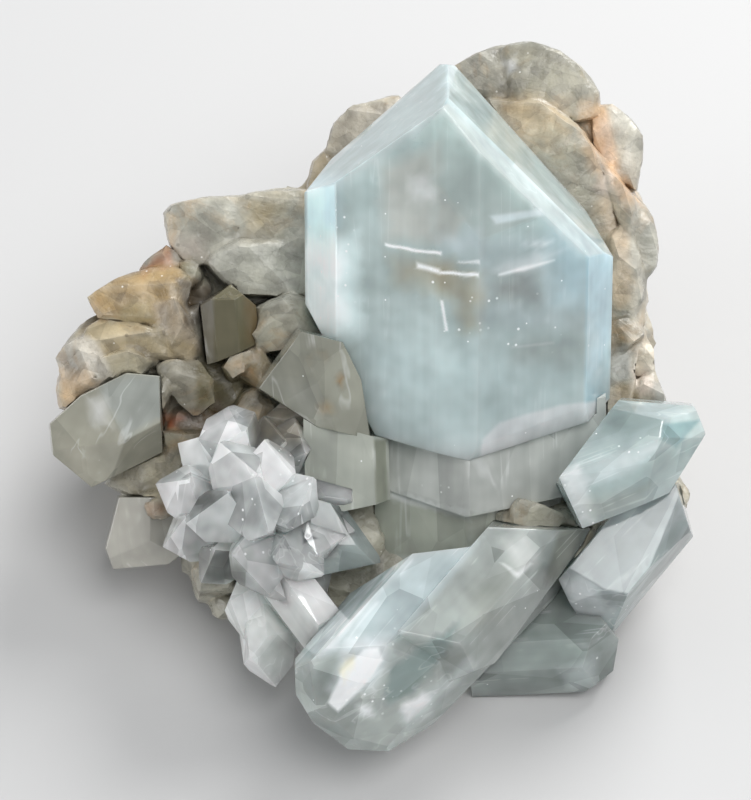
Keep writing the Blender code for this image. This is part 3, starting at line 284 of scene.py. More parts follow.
def paint(mesh, marks, clear=0.0, sparkle=(), rag=0.5):
    """Lays marks over a mesh as its tint, and how clear it is.

    A mark is (shape, soft edge in millimetres, colour, share, clear or None). A soft edge below zero is
    a ragged one. Crisp marks stay on the faces that the photograph shows.
    """
    points = np.empty(len(mesh.vertices) * 3)
    mesh.vertices.foreach_get("co", points)
    points = points.reshape(-1, 3)
    normals = np.empty(len(points) * 3)
    mesh.vertices.foreach_get("normal", normals)
    faces_eye = np.einsum("ij,ij->i", normals.reshape(-1, 3), np.array(EYE) - points) > -0.02
    pushed = np.array([noise.noise_vector(corner.co * 700.0) for corner in mesh.vertices])
    ragged = points + rag * MM * pushed
    barely = points + 0.2 * rag * MM * pushed
    tint = np.zeros((len(points), 4))
    through = np.full(len(points), float(clear))
    for shape, soft, tone, share, opened in marks:
        crisp = abs(soft) < 0.25
        where = points if soft > 0.0 else barely if crisp else ragged
        inside = soft_step(depth_inside(shape, where), -abs(soft) * MM, abs(soft) * MM) * share
        if crisp:
            inside = inside * faces_eye
        tint = tint * (1.0 - inside)[:, None] + np.array((*tone, 1.0)) * inside[:, None]
        if opened is not None:
            through = through * (1.0 - inside) + opened * inside
    dense = np.zeros(len(points))
    for shape in sparkle:
        dense = np.maximum(dense, soft_step(depth_inside(shape, ragged), -0.6 * MM, 0.6 * MM))
    colors = np.ones((len(points), 4))
    colors[:, :3] = tint[:, :3] / np.maximum(tint[:, 3:], 0.001)
    mesh.attributes.new("tint", "FLOAT_COLOR", "POINT").data.foreach_set("color", colors.ravel())
    for name, values in (("tinted", tint[:, 3]), ("clear", through), ("sparkle", dense)):
        mesh.attributes.new(name, "FLOAT", "POINT").data.foreach_set("value", values)


def split_edges(solid, edges):
    bmesh.ops.subdivide_edges(solid, edges=edges, cuts=1)
    bmesh.ops.triangulate(solid, faces=[face for face in solid.faces if len(face.verts) > 3])


def split_fine(solid, longest):
    """Halves the solid's edges until none is longer than longest."""
    for turn in range(9):
        long_edges = [edge for edge in solid.edges if edge.calc_length() > longest]
        if not long_edges:
            break
        split_edges(solid, long_edges)
    solid.normal_update()


def split_at_marks(solid, marks, longest):
    """Halves the edges along the rims of the crisp marks until none is longer than longest."""
    crisp = [mark[0] for mark in marks if abs(mark[1]) < 0.25]
    for turn in range(4 if crisp else 0):
        edges = [edge for edge in solid.edges if edge.calc_length() > longest
                 and any(face.normal.dot(EYE - edge.verts[0].co) > 0.0 for face in edge.link_faces)]
        if not edges:
            break
        middles = np.array([(edge.verts[0].co + edge.verts[1].co) / 2.0 for edge in edges])
        reach = np.array([edge.calc_length() for edge in edges]) * 0.6 + 0.05 * MM
        near = np.zeros(len(edges), bool)
        for shape in crisp:
            near |= np.abs(depth_inside(shape, middles)) < reach
        split_edges(solid, [edge for edge, chosen in zip(edges, near) if chosen])


def take(node, name, material, clear=0.5, marks=(), sparkle=(), bevel=0.12, angle=6.0, grow=0.14):
    """A crystal made from its solid, its flat faces joined up, its edges worn and its marks laid on.

    It is grown by grow millimetres, into the gap that parts the solids.
    """
    solid = bmesh.new()
    solid.from_mesh(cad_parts[node].data)
    solid.transform(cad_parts[node].matrix_world)
    bmesh.ops.remove_doubles(solid, verts=solid.verts[:], dist=0.01 * MM)
    flat = radians(0.5)
    bmesh.ops.dissolve_limit(solid, angle_limit=flat, verts=solid.verts[:], edges=solid.edges[:])
    solid.normal_update()
    moves = [corner.normal * (min(corner.calc_shell_factor(), 1.6) * grow * MM) for corner in solid.verts]
    for corner, move in zip(solid.verts, moves):
        if corner.co.z > 0.5 * MM:
            corner.co += move
    chance = random.Random(name)
    facet = solid.faces.layers.float.new("facet")
    for face in solid.faces:
        face[facet] = chance.random()
    sharp = [edge for edge in solid.edges if abs(edge.calc_face_angle_signed(0.0)) > radians(angle)]
    bmesh.ops.bevel(solid, geom=sharp, offset=bevel * MM, offset_type="OFFSET", segments=2, profile=0.5,
                    affect="EDGES", clamp_overlap=True)
    bmesh.ops.triangulate(solid, faces=solid.faces[:])
    if marks or sparkle:
        split_fine(solid, (1.0) * MM)
        split_at_marks(solid, marks, (0.28) * MM)
    mesh = bpy.data.meshes.new(name)
    solid.to_mesh(mesh)
    solid.free()
    paint(mesh, marks, clear, sparkle)
    thing = bpy.data.objects.new(name, mesh)
    bpy.context.scene.collection.objects.link(thing)
    mesh.materials.append(material)
    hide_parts(node)
    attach(thing, "root")
    return thing


# Materials of the crystals. A soft edge below zero is a ragged one.

WHITE = (0.98, 0.99, 1.0)
BROWN = (0.56, 0.48, 0.33)

take("main_topaz", "large_topaz", crystal(
    "large topaz", 90, 18, (0.72, 0.92, 0.95), 11.0, body=(0.68, 0.78, 0.77), facets=0.04, white=1.2,
    panes=0.0, veils=0.12, lines=0.0, dense=True), clear=0.4,
    marks=(
        # lower half, hazier
        (((340, 335), (584, 335), (584, 415), (478, 460), (365, 434)), 3.0, (0.7, 0.82, 0.82), 0.8, 0.3),
        # the two roof faces, painted darker as shade, the left one most, and a line of growth steps on the right one
        (((307, 188), (448, 56), (448, 103), (335, 184)), 0.12, (0.34, 0.44, 0.44), 0.95, 0.2),
        (((448, 56), (614, 246), (604, 255), (448, 103)), 0.12, (0.5, 0.61, 0.61), 0.95, 0.2),
        (((516, 160), (602, 243), (599, 248), (512, 166)), -0.15, (0.86, 0.94, 0.95), 0.5, None),
        # window under the apex and its left wedge, painted darker as shade, and the pale band along its lower edge
        (((447, 104), (541, 216), (480, 240), (436, 185), (436, 116)), 0.12, (0.52, 0.59, 0.57), 0.95, 0.2),
        (((447, 104), (437, 143), (413, 141)), 0.15, (0.56, 0.64, 0.62), 0.9, 0.2),
        (((490, 216), (541, 209), (544, 215), (496, 224)), 0.2, (0.86, 0.92, 0.95), 0.6, 0.2),
        # grey zone left of it, with pale streaks
        (((380, 166), (436, 147), (436, 242), (386, 240)), -0.9, (0.7, 0.69, 0.64), 0.7, 0.35),
        (((436, 186), (463, 219), (456, 242), (436, 242)), -0.5, (0.68, 0.68, 0.63), 0.7, 0.35),
        (((409, 180), (432, 176), (436, 200), (411, 200)), -0.6, WHITE, 0.5, 0.2),
        (((438, 236), (478, 230), (482, 256), (442, 253)), -1.0, (0.82, 0.9, 0.94), 0.5, 0.3),
        # right of the middle, paler and bluer toward the shoulder
        (((478, 242), (556, 232), (584, 262), (584, 330), (478, 326)), 0.6, (0.72, 0.81, 0.83), 0.5, 0.4),
        (((552, 226), (606, 252), (600, 310), (556, 300)), 1.6, (0.68, 0.86, 0.93), 0.6, None),
        # left narrow face, painted bright as a reflection: blue above, white below
        (((307, 190), (335, 184), (338, 336), (322, 342), (307, 300)), 0.12, (0.76, 0.97, 1.0), 1.0, 0.0),
        (((300, 180), (337, 178), (337, 224), (300, 232)), 1.0, (0.68, 0.88, 0.95), 0.75, None),
        (((304, 250), (350, 240), (356, 330), (330, 345), (304, 305)), -1.6, (0.86, 1.0, 1.0), 0.9, 0.0),
        # right narrow face
        (((586, 256), (614, 252), (614, 300), (608, 415), (584, 415)), 0.2, (0.52, 0.72, 0.8), 0.85, 0.3),
        # the rock, seen through the middle
        (((392, 258), (450, 262), (452, 286), (396, 284)), -1.2, BROWN, 0.6, 0.4),
        (((434, 262), (480, 276), (480, 302), (430, 292)), -1.0, BROWN, 0.6, 0.4),
        (((452, 294), (480, 294), (479, 332), (462, 332)), -0.8, BROWN, 0.5, 0.4),
        (((494, 276), (530, 272), (532, 298), (496, 298)), -1.4, (0.45, 0.43, 0.38), 0.5, 0.6),
        (((512, 342), (590, 340), (590, 362), (512, 362)), -1.3, (0.48, 0.5, 0.46), 0.45, None),
        (((570, 316), (592, 316), (592, 342), (570, 342)), -1.2, (0.48, 0.52, 0.5), 0.4, None),
        # bevel at the lower right
        (((482, 440), (500, 422), (560, 405), (606, 400), (606, 412), (560, 436), (480, 458)), -0.2,
         (0.86, 0.87, 0.88), 0.75, 0.2),
        # cracks
        (((385, 243), (414, 249), (414, 252), (385, 246)), -0.1, WHITE, 0.95, 0.0),
        (((414, 249), (442, 252), (442, 255), (414, 252)), -0.1, WHITE, 0.95, 0.0),
        (((417, 263), (440, 269), (440, 274), (417, 268)), -0.2, WHITE, 0.9, 0.0),
        (((440, 271), (479, 273), (479, 277), (440, 274)), -0.1, WHITE, 0.95, 0.0),
        (((458, 261), (480, 260), (480, 264), (458, 263)), -0.1, WHITE, 0.7, 0.1),
        (((499, 271), (524, 266), (554, 256), (554, 260), (524, 271), (499, 275)), -0.2, WHITE, 0.95, 0.0),
        (((508, 268), (532, 257), (548, 256), (528, 270)), -0.9, WHITE, 0.7, 0.1),
        (((528, 244), (542, 240), (552, 242), (540, 247)), -0.3, WHITE, 0.6, 0.1),
        (((512, 346), (554, 342), (554, 344), (512, 348)), -0.1, WHITE, 0.4, None),
        (((440, 300), (443, 300), (448, 331), (445, 331)), -0.1, WHITE, 0.8, 0.0),
        # a small white spot, a painted glint
        ((487.5, 325.0, 11.0, 0.3), 0.15, WHITE, 1.0, 0.0),
        # the zipper of growth steps along the ridge
        (((446, 60), (450, 60), (450, 104), (446, 104)), -0.2, (0.45, 0.6, 0.62), 0.7, None),
    ),
    sparkle=(
        ((425, 268), (478, 276), (480, 332), (440, 332), (424, 290)),
        ((307, 200), (352, 215), (352, 330), (318, 338), (307, 300)),
        ((480, 296), (560, 296), (590, 345), (500, 350)),
    ),
)
take("front_topaz", "leaning_topaz", crystal(
    "front topaz", 226, 30, (0.76, 0.86, 0.87), 14.0, body=(0.6, 0.64, 0.61), facets=0.05, white=0.4,
    lines=0.4, dense=True), clear=0.5,
    marks=(
        (((350, 560), (480, 540), (440, 590), (395, 640), (300, 660)), 0.5, (0.72, 0.83, 0.86), 0.7, 0.4),
        # growth lines on the left narrow face
        (((392, 556), (412, 552), (332, 650), (318, 650)), 0.3, (0.8, 0.85, 0.86), 0.6, 0.3),
        (((397, 556), (400, 556), (336, 636), (333, 636)), -0.1, (0.45, 0.55, 0.53), 0.6, None),
        (((406, 554), (408, 554), (342, 642), (340, 642)), -0.1, (0.5, 0.6, 0.58), 0.5, None),
        (((402, 556), (404, 556), (340, 636), (337, 636)), -0.1, WHITE, 0.6, None),
        # grey-green where the rock shows through
        (((470, 590), (520, 560), (500, 620), (470, 632)), 1.2, (0.52, 0.54, 0.48), 0.55, None),
        (((560, 528), (590, 524), (560, 584), (545, 580)), 0.3, (0.42, 0.43, 0.36), 0.75, None),
        # the tip: painted shade on its dark facet, a painted highlight with a warm tinge on the bright facet beside it,
        # and pale patches along its lower edges
        (((392, 664), (456, 626), (447, 651), (416, 688), (389, 706), (382, 695)), -0.4, (0.34, 0.45, 0.43),
         0.8, 0.6),
        (((350, 640), (386, 636), (392, 655), (372, 690), (345, 700), (326, 690)), -0.7, (0.86, 0.9, 0.92),
         0.7, 0.15),
        (((352, 650), (378, 648), (383, 660), (360, 690), (338, 712), (320, 695), (342, 672)), -0.2, WHITE, 1.0, 0.0),
        (((338, 672), (352, 654), (357, 662), (344, 684)), -0.3, (1.0, 0.9, 0.66), 0.6, None),
        (((356, 706), (372, 704), (376, 716), (358, 718)), -0.5, WHITE, 0.7, 0.1),
        (((400, 706), (424, 692), (430, 700), (406, 720)), -0.4, WHITE, 0.8, 0.05),
        (((400, 716), (470, 660), (474, 668), (404, 728)), -0.6, (0.85, 0.9, 0.92), 0.5, 0.2),
        # chipped corner of the upper end: a painted highlight along its V-shaped edge, over a pale patch
        (((500, 563), (504, 563), (519, 573), (517, 578)), -0.15, WHITE, 0.45, 0.1),
        (((516, 573), (530, 562), (533, 564), (519, 578)), -0.15, WHITE, 0.45, 0.1),
        (((500, 540), (530, 530), (540, 560), (516, 572)), 0.8, (0.8, 0.81, 0.79), 0.6, 0.2),
    ),
    sparkle=(
        ((350, 630), (392, 630), (392, 700), (360, 730), (330, 700)),
        ((398, 690), (430, 676), (440, 700), (408, 726)),
    ),
)
take("right_topaz", "upper_right_topaz", crystal(
    "right topaz", 21, -8, (0.66, 0.82, 0.84), 22.0, body=(0.66, 0.76, 0.75), facets=0.2, white=0.6, dense=True), clear=0.5,
    marks=(
        (((662, 424), (700, 420), (676, 448), (661, 440)), 0.2, (0.38, 0.56, 0.57), 0.8, 0.6),
        (((610, 402), (690, 404), (660, 426), (600, 432)), 0.8, (0.45, 0.55, 0.55), 0.6, 0.6),
        (((575, 471), (617, 458), (661, 437), (670, 444), (638, 468), (585, 486)), -0.7, (0.88, 0.92, 0.93), 0.6,
         0.2),
        (((560, 476), (580, 466), (588, 486), (594, 520), (580, 526)), -0.5, (0.92, 0.95, 0.95), 0.75, 0.1),
        (((582, 500), (650, 486), (640, 500), (590, 522)), 0.8, (0.62, 0.6, 0.54), 0.5, None),
    ),
    sparkle=(((560, 474), (600, 462), (600, 486), (594, 524), (578, 526)), ((610, 440), (660, 430), (640, 468))),
)
take("lower_right_topaz", "blade_topaz", crystal(
    "blade topaz", 50, -4, (0.78, 0.84, 0.86), 24.0, body=(0.52, 0.57, 0.57), facets=0.15, white=0.7, dense=True), clear=0.5,
    marks=(
        (((676, 520), (690, 520), (612, 640), (602, 632)), 0.3, (0.42, 0.5, 0.49), 0.75, None),
        (((560, 582), (585, 575), (610, 610), (604, 636), (580, 626)), -0.6, (0.88, 0.91, 0.92), 0.6, 0.2),
    ),
    sparkle=(((560, 580), (600, 580), (612, 610), (600, 640), (575, 620)),),
)
# the corner topaz: its own teal, made darker all through as painted shade for where it sits low by the floor
take("corner_topaz", "dark_topaz", crystal(
    "dark topaz", 4, 6, (0.55, 0.7, 0.68), 45.0, body=(0.52, 0.58, 0.55), facets=0.2, white=0.6, dense=True), clear=0.5,
    marks=((((560, 670), (596, 655), (596, 684), (570, 690)), -0.7, (0.8, 0.86, 0.87), 0.5, 0.2),),
    sparkle=(((560, 668), (600, 655), (592, 688)),),
)
take("wing_crystal", "wing_topaz", crystal(
    "wing topaz", -45, 8, (0.64, 0.8, 0.82), 30.0, body=(0.54, 0.61, 0.59), facets=0.15), clear=0.5)
take("sparkling_cluster", "quartz_cluster", crystal(
    "clear quartz", 80, 40, (0.92, 0.94, 0.94), 4.0, ior=1.55, body=(0.95, 0.98, 0.97), facets=0.5, panes=0.15,
    cloud=0.15, white=1.0, dense=True), clear=0.42,
    marks=(
        (((250, 405), (290, 402), (316, 424), (300, 448), (256, 440)), -1.0, (0.62, 0.49, 0.3), 0.6, 0.3),
        (((302, 530), (318, 538), (303, 544)), -0.15, (0.1, 0.11, 0.12), 0.9, 0.2),
        (((190, 548), (250, 548), (240, 600), (196, 590)), 1.2, (0.62, 0.64, 0.57), 0.6, 0.4),
    ),
    sparkle=(((230, 440), (320, 440), (330, 560), (240, 560)),),
)
take("lower_left_crystals", "quartz_points", crystal(
    "lower left quartz", -52, 18, (0.84, 0.88, 0.88), 5.0, ior=1.55, body=(0.96, 0.99, 0.96),
    facets=0.22, white=0.5, lines=0.4), clear=0.25)
take("left_crystal", "milky_crystal", crystal(
    "milky quartz", 60, 10, (0.86, 0.85, 0.8), 30.0, ior=1.55, body=(0.38, 0.37, 0.3), facets=0.08,
    roughness=0.12, white=0.4, glow=0.0), clear=0.25,
    marks=(
        (((98, 386), (126, 374), (162, 376), (162, 418), (125, 440)), 0.3, (0.36, 0.39, 0.37), 0.7, 0.35),
        (((90, 400), (104, 398), (108, 424), (94, 424)), -0.8, WHITE, 0.45, 0.1),
        (((60, 440), (90, 450), (100, 485), (70, 470)), 1.2, (0.56, 0.53, 0.43), 0.5, None),
    ),
)
take("low_left_crystal", "clouded_crystal", crystal(
    "clouded quartz", -80, 6, (0.8, 0.8, 0.74), 36.0, ior=1.55, body=(0.58, 0.56, 0.5), facets=0.12,
    roughness=0.1, white=0.4, glow=0.0), clear=0.35)
take("pedestal_crystal", "pedestal", crystal(
    "pedestal quartz", 90, 12, (0.86, 0.87, 0.83), 30.0, ior=1.55, body=(0.68, 0.7, 0.66), facets=0.08,
    roughness=0.12, white=0.5, dense=True, glow=0.0), clear=0.3,
    marks=(
        # painted shade over its lower front faces, darker on the left
        (((346, 488), (400, 500), (468, 517), (468, 556), (350, 560)), 0.3, (0.38, 0.4, 0.32), 0.8, 0.3),
        (((468, 517), (530, 506), (520, 540), (468, 556)), 0.3, (0.44, 0.46, 0.38), 0.7, 0.3),
        (((385, 488), (470, 512), (470, 520), (385, 496)), -0.3, (0.84, 0.86, 0.84), 0.5, None),
    ),
    sparkle=(((425, 490), (450, 490), (455, 512), (430, 508)),),
)
take("grey_crystal", "spotted_crystal", crystal(
    "grey quartz", 100, 8, (0.8, 0.8, 0.75), 40.0, ior=1.55, body=(0.4, 0.4, 0.33), facets=0.12,
    roughness=0.1, white=0.3, glow=0.0), clear=0.35,
    marks=(
        (((336, 372), (344, 376), (341, 388), (335, 384)), -0.3, (0.3, 0.2, 0.1), 0.85, 0.2),
        (((318, 406), (326, 400), (334, 412), (322, 416)), -0.5, (0.34, 0.25, 0.14), 0.75, 0.2),
        (((316, 350), (330, 350), (326, 362)), -0.3, (0.3, 0.26, 0.18), 0.7, 0.2),
        (((306, 358), (314, 356), (312, 366)), -0.3, (0.34, 0.3, 0.22), 0.6, 0.2),
        (((280, 384), (312, 384), (318, 424), (300, 416)), 1.0, (0.52, 0.53, 0.47), 0.5, None),
    ),
)
take("block_crystal", "square_crystal", crystal(
    "block quartz", 92, 6, (0.8, 0.81, 0.75), 40.0, ior=1.55, body=(0.55, 0.57, 0.5), facets=0.1,
    roughness=0.1, white=0.3, glow=0.0), clear=0.3,
    marks=((((374, 440), (386, 440), (388, 502), (376, 504)), 0.2, (0.28, 0.29, 0.21), 0.7, None),),
)
take("small_grey_prism", "short_prism", crystal(
    "small quartz", 96, 10, (0.76, 0.77, 0.68), 60.0, ior=1.55, body=(0.2, 0.18, 0.11), facets=0.15,
    roughness=0.12, white=0.2, glow=0.0), clear=0.3,
    marks=(
        (((200, 290), (214, 290), (214, 366), (200, 366)), 0.2, (0.3, 0.28, 0.24), 0.6, None),
        (((244, 296), (260, 300), (260, 340), (248, 344)), -0.6, (0.2, 0.13, 0.06), 0.6, None),
    ),
)


# Colours of the rock, each over an outline of the view
ROCK_MARKS = (
    # upper left, grey-green
    (((165, 206), (204, 196), (310, 188), (310, 300), (262, 316), (200, 268), (165, 246)), 0.8, (0.55, 0.54, 0.46),
     0.85, None),
    (((166, 238), (204, 236), (206, 266), (180, 264)), -1.2, (0.6, 0.51, 0.44), 0.6, None),
    (((244, 200), (282, 196), (278, 234), (250, 232)), -1.4, (0.56, 0.43, 0.22), 0.7, None),
    (((252, 312), (306, 294), (334, 340), (300, 348), (272, 366), (250, 345)), 0.4, (0.42, 0.4, 0.31), 0.8, None),
    # brown group
    (((84, 298), (108, 279), (150, 264), (190, 260), (194, 284), (188, 316), (152, 327), (96, 320)), -0.4,
     (0.42, 0.28, 0.12), 0.85, None),
    (((118, 302), (156, 300), (158, 325), (122, 325)), -0.6, (0.32, 0.25, 0.12), 0.8, None),
    (((140, 270), (154, 253), (170, 244), (178, 262)), -0.5, (0.42, 0.18, 0.08), 0.8, None),
    (((153, 305), (175, 298), (190, 318), (203, 352), (190, 362), (168, 347)), 0.3, (0.54, 0.43, 0.3), 0.85, None),
    (((70, 346), (84, 326), (100, 319), (155, 327), (196, 345), (196, 362), (104, 364)), 0.3, (0.5, 0.4, 0.24),
     0.85, None),
    (((100, 358), (128, 349), (154, 362), (134, 379), (112, 385)), 0.3, (0.6, 0.53, 0.37), 0.8, None),
    (((52, 360), (64, 343), (82, 333), (99, 343), (115, 382), (98, 396), (58, 382)), 0.3, (0.68, 0.63, 0.54),
     0.85, None),
    (((60, 372), (86, 370), (90, 396), (76, 414), (56, 406)), -0.9, (0.76, 0.5, 0.26), 0.75, None),
    (((138, 366), (160, 360), (200, 358), (215, 378), (215, 404), (164, 419)), 0.3, (0.33, 0.3, 0.23), 0.85, None),
    (((197, 350), (232, 362), (264, 380), (264, 398), (240, 432), (208, 434), (196, 410)), 0.3, (0.17, 0.14, 0.06),
     0.85, None),
    (((156, 412), (240, 404), (242, 436), (158, 434)), -0.5, (0.13, 0.08, 0.04), 0.85, None),
    (((158, 414), (184, 416), (180, 428), (160, 426)), -0.5, (0.42, 0.12, 0.05), 0.8, None),
    (((174, 280), (207, 278), (212, 296), (205, 318), (188, 332)), -0.5, (0.08, 0.055, 0.03), 0.9, None),
    (((178, 260), (200, 260), (202, 276), (182, 278)), -0.6, (0.2, 0.19, 0.12), 0.75, None),
    (((234, 413), (247, 389), (263, 388), (280, 415), (256, 434)), 0.3, (0.36, 0.33, 0.26), 0.85, None),
    (((239, 375), (256, 344), (273, 364), (262, 392)), 0.3, (0.33, 0.25, 0.13), 0.85, None),
    (((237, 362), (247, 361), (247, 373), (238, 374)), -0.3, (0.62, 0.33, 0.12), 0.8, None),
    (((225, 367), (236, 347), (251, 339), (254, 352), (247, 371), (233, 379)), 0.3, (0.52, 0.47, 0.36), 0.8, None),
    (((142, 497), (168, 494), (172, 518), (148, 522)), -0.7, (0.34, 0.19, 0.09), 0.8, None),
    (((110, 482), (148, 430), (212, 432), (206, 466), (186, 502), (150, 504)), 0.5, (0.38, 0.34, 0.24), 0.85, None),
    # left end of the ridge
    (((300, 210), (306, 150), (332, 110), (400, 92), (412, 110), (350, 190)), 0.8, (0.52, 0.46, 0.36), 0.85, None),
    (((300, 210), (306, 150), (326, 140), (330, 200)), -1.2, (0.44, 0.34, 0.19), 0.7, None),
    # right part of the ridge, from the top down
    (((452, 66), (478, 52), (506, 44), (514, 80), (500, 104), (478, 96)), 0.5, (0.44, 0.42, 0.35), 0.85, None),
    (((498, 44), (562, 48), (602, 90), (602, 122), (560, 124), (508, 106)), 0.5, (0.42, 0.39, 0.3), 0.85, None),
    (((502, 78), (520, 80), (524, 108), (506, 110)), -0.8, (0.17, 0.14, 0.09), 0.75, None),
    (((507, 60), (514, 60), (515, 72), (508, 72)), -0.5, WHITE, 0.8, None),
    (((498, 98), (562, 106), (568, 142), (518, 138)), -1.6, (0.62, 0.45, 0.25), 0.75, None),
    (((518, 122), (570, 124), (564, 168), (530, 162)), -1.4, (0.5, 0.46, 0.35), 0.7, None),
    (((562, 130), (592, 146), (618, 232), (608, 254), (556, 186)), -1.0, (0.48, 0.44, 0.34), 0.8, None),
    (((586, 104), (608, 106), (634, 160), (638, 210), (612, 200), (590, 150)), -1.2, (0.86, 0.52, 0.26), 0.85, None),
    (((598, 118), (614, 120), (616, 162), (600, 158)), -0.9, (0.92, 0.74, 0.6), 0.75, None),
    (((598, 174), (616, 174), (618, 198), (602, 196)), -0.8, (0.92, 0.78, 0.66), 0.75, None),
    (((600, 196), (636, 206), (642, 304), (604, 304)), -0.9, (0.8, 0.62, 0.42), 0.8, None),
    (((606, 102), (633, 116), (644, 136), (640, 194), (620, 172)), 0.4, (0.64, 0.61, 0.52), 0.85, None),
    (((630, 203), (654, 216), (660, 240), (656, 270), (641, 286), (628, 262)), 0.4, (0.6, 0.58, 0.49), 0.85, None),
    (((630, 284), (652, 284), (652, 332), (632, 330)), 0.5, (0.76, 0.72, 0.62), 0.8, None),
    (((602, 322), (634, 318), (636, 342), (618, 354), (602, 352)), -0.7, (0.17, 0.13, 0.07), 0.85, None),
    (((602, 351), (630, 350), (633, 372), (618, 388), (602, 388)), -0.6, (0.5, 0.5, 0.46), 0.8, None),
    (((630, 334), (656, 338), (658, 382), (632, 376)), -0.7, (0.95, 0.84, 0.68), 0.8, None),
    (((634, 372), (654, 370), (656, 400), (638, 402)), -0.6, (0.88, 0.72, 0.6), 0.75, None),
    (((608, 386), (640, 384), (640, 406), (608, 406)), -0.6, (0.34, 0.26, 0.15), 0.8, None),
    (((653, 382), (670, 382), (672, 406), (653, 406)), 0.3, (0.44, 0.43, 0.39), 0.8, None),
)


# The feldspar rock

def rock_grains(solid):
    """For each face of the solid, its flat facet's number and its block's number.

    Faces that meet at a hollow edge belong to different blocks, which is how the rock's crystals part.
    """
    facet = {}
    block = {}
    for numbers, same in ((facet, lambda edge: abs(edge.calc_face_angle_signed(0.0)) < radians(3.0)),
                          (block, lambda edge: edge.calc_face_angle_signed(0.0) > radians(-3.0))):
        count = 0
        for start in solid.faces:
            if start.index in numbers:
                continue
            numbers[start.index] = count
            waiting = [start]
            while waiting:
                for edge in waiting.pop().edges:
                    for face in edge.link_faces:
                        if face.index not in numbers and same(edge):
                            numbers[face.index] = count
                            waiting.append(face)
            count += 1
    return facet, block


def edge_points(solid, convex):
    """A search tree of points along the solid's ridges, or along its hollow edges."""
    points = []
    for edge in solid.edges:
        angle = edge.calc_face_angle_signed(0.0)
        if (angle > radians(12.0)) if convex else (angle < radians(-12.0)):
            start, end = (corner.co for corner in edge.verts)
            steps = max(1, int((end - start).length / (0.3 * MM)))
            points.extend(start.lerp(end, (step + 0.5) / steps) for step in range(steps))
    tree = KDTree(len(points))
    for number, point in enumerate(points):
        tree.insert(point, number)
    tree.balance()
    return tree


def rock_shape():
    """The rock from its solid: its flat facets split fine, roughened, and chipped along their edges."""
    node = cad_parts["feldspar_matrix"]
    solid = bmesh.new()
    solid.from_mesh(node.data)
    solid.transform(node.matrix_world)
    bmesh.ops.remove_doubles(solid, verts=solid.verts[:], dist=0.001 * MM)
    solid.faces.ensure_lookup_table()
    solid.faces.index_update()
    solid.normal_update()
    facet, block = rock_grains(solid)
    ridges = edge_points(solid, True)
    hollows = edge_points(solid, False)
    facet_layer = solid.faces.layers.int.new("facet_number")
    block_layer = solid.faces.layers.int.new("block_number")
    for face in solid.faces:
        face[facet_layer] = facet[face.index]
        face[block_layer] = block[face.index]
    split_fine(solid, (0.8) * MM)

    # the blocks have grown together, so the hollows between them are filled with a smooth curve
    near_hollow = [corner for corner in solid.verts
                   if corner.co.z > 1.0 * MM and hollows.find(corner.co)[2] < 1.1 * MM]
    for turn in range(6):
        bmesh.ops.smooth_vert(solid, verts=near_hollow, factor=0.5, use_axis_x=True, use_axis_y=True,
                              use_axis_z=True)
    solid.normal_update()

    chance = random.Random(7)
    facet_tone = [chance.random() for number in range(len(facet) + 1)]
    block_tone = [chance.random() for number in range(len(block) + 1)]
    columns = {"facet": [], "block": [], "ridge": [], "hollow": []}
    moves = []
    for corner in solid.verts:
        ridge = max(0.0, 1.0 - ridges.find(corner.co)[2] / (0.7 * MM))
        hollow = max(0.0, 1.0 - hollows.find(corner.co)[2] / (0.8 * MM))
        rough = noise.fractal(corner.co * 600.0, 0.9, 2.1, 4)
        broad = noise.noise(corner.co * 140.0)
        chip = max(0.0, noise.noise(corner.co * 420.0) + 0.15)
        step = round(3.0 * noise.noise(corner.co * 260.0)) / 3.0
        lift = 0.15 + 0.1 * rough + 0.1 * broad + 0.24 * step - ridge * (0.03 + 0.3 * chip)
        moves.append(corner.normal * (lift * MM) if corner.co.z > 0.5 * MM else Vector((0.0, 0.0, 0.0)))
        face = corner.link_faces[0]
        columns["facet"].append(facet_tone[face[facet_layer]])
        columns["block"].append(block_tone[face[block_layer]])
        columns["ridge"].append(ridge)
        columns["hollow"].append(hollow)
    for corner, move in zip(solid.verts, moves):
        corner.co += move
    for face in solid.faces:
        face.smooth = True
    for edge in solid.edges:
        if len(edge.link_faces) == 2 and edge.link_faces[0][facet_layer] != edge.link_faces[1][facet_layer]:
            edge.smooth = edge.calc_face_angle(0.0) < radians(14.0)
    mesh = bpy.data.meshes.new("feldspar_rock")
    solid.to_mesh(mesh)
    solid.free()
    for name, values in columns.items():
        mesh.attributes.new(name, "FLOAT", "POINT").data.foreach_set("value", values)

    paint(mesh, ROCK_MARKS, rag=1.0)
    rock = bpy.data.objects.new("feldspar_rock", mesh)
    bpy.context.scene.collection.objects.link(rock)
    return rock


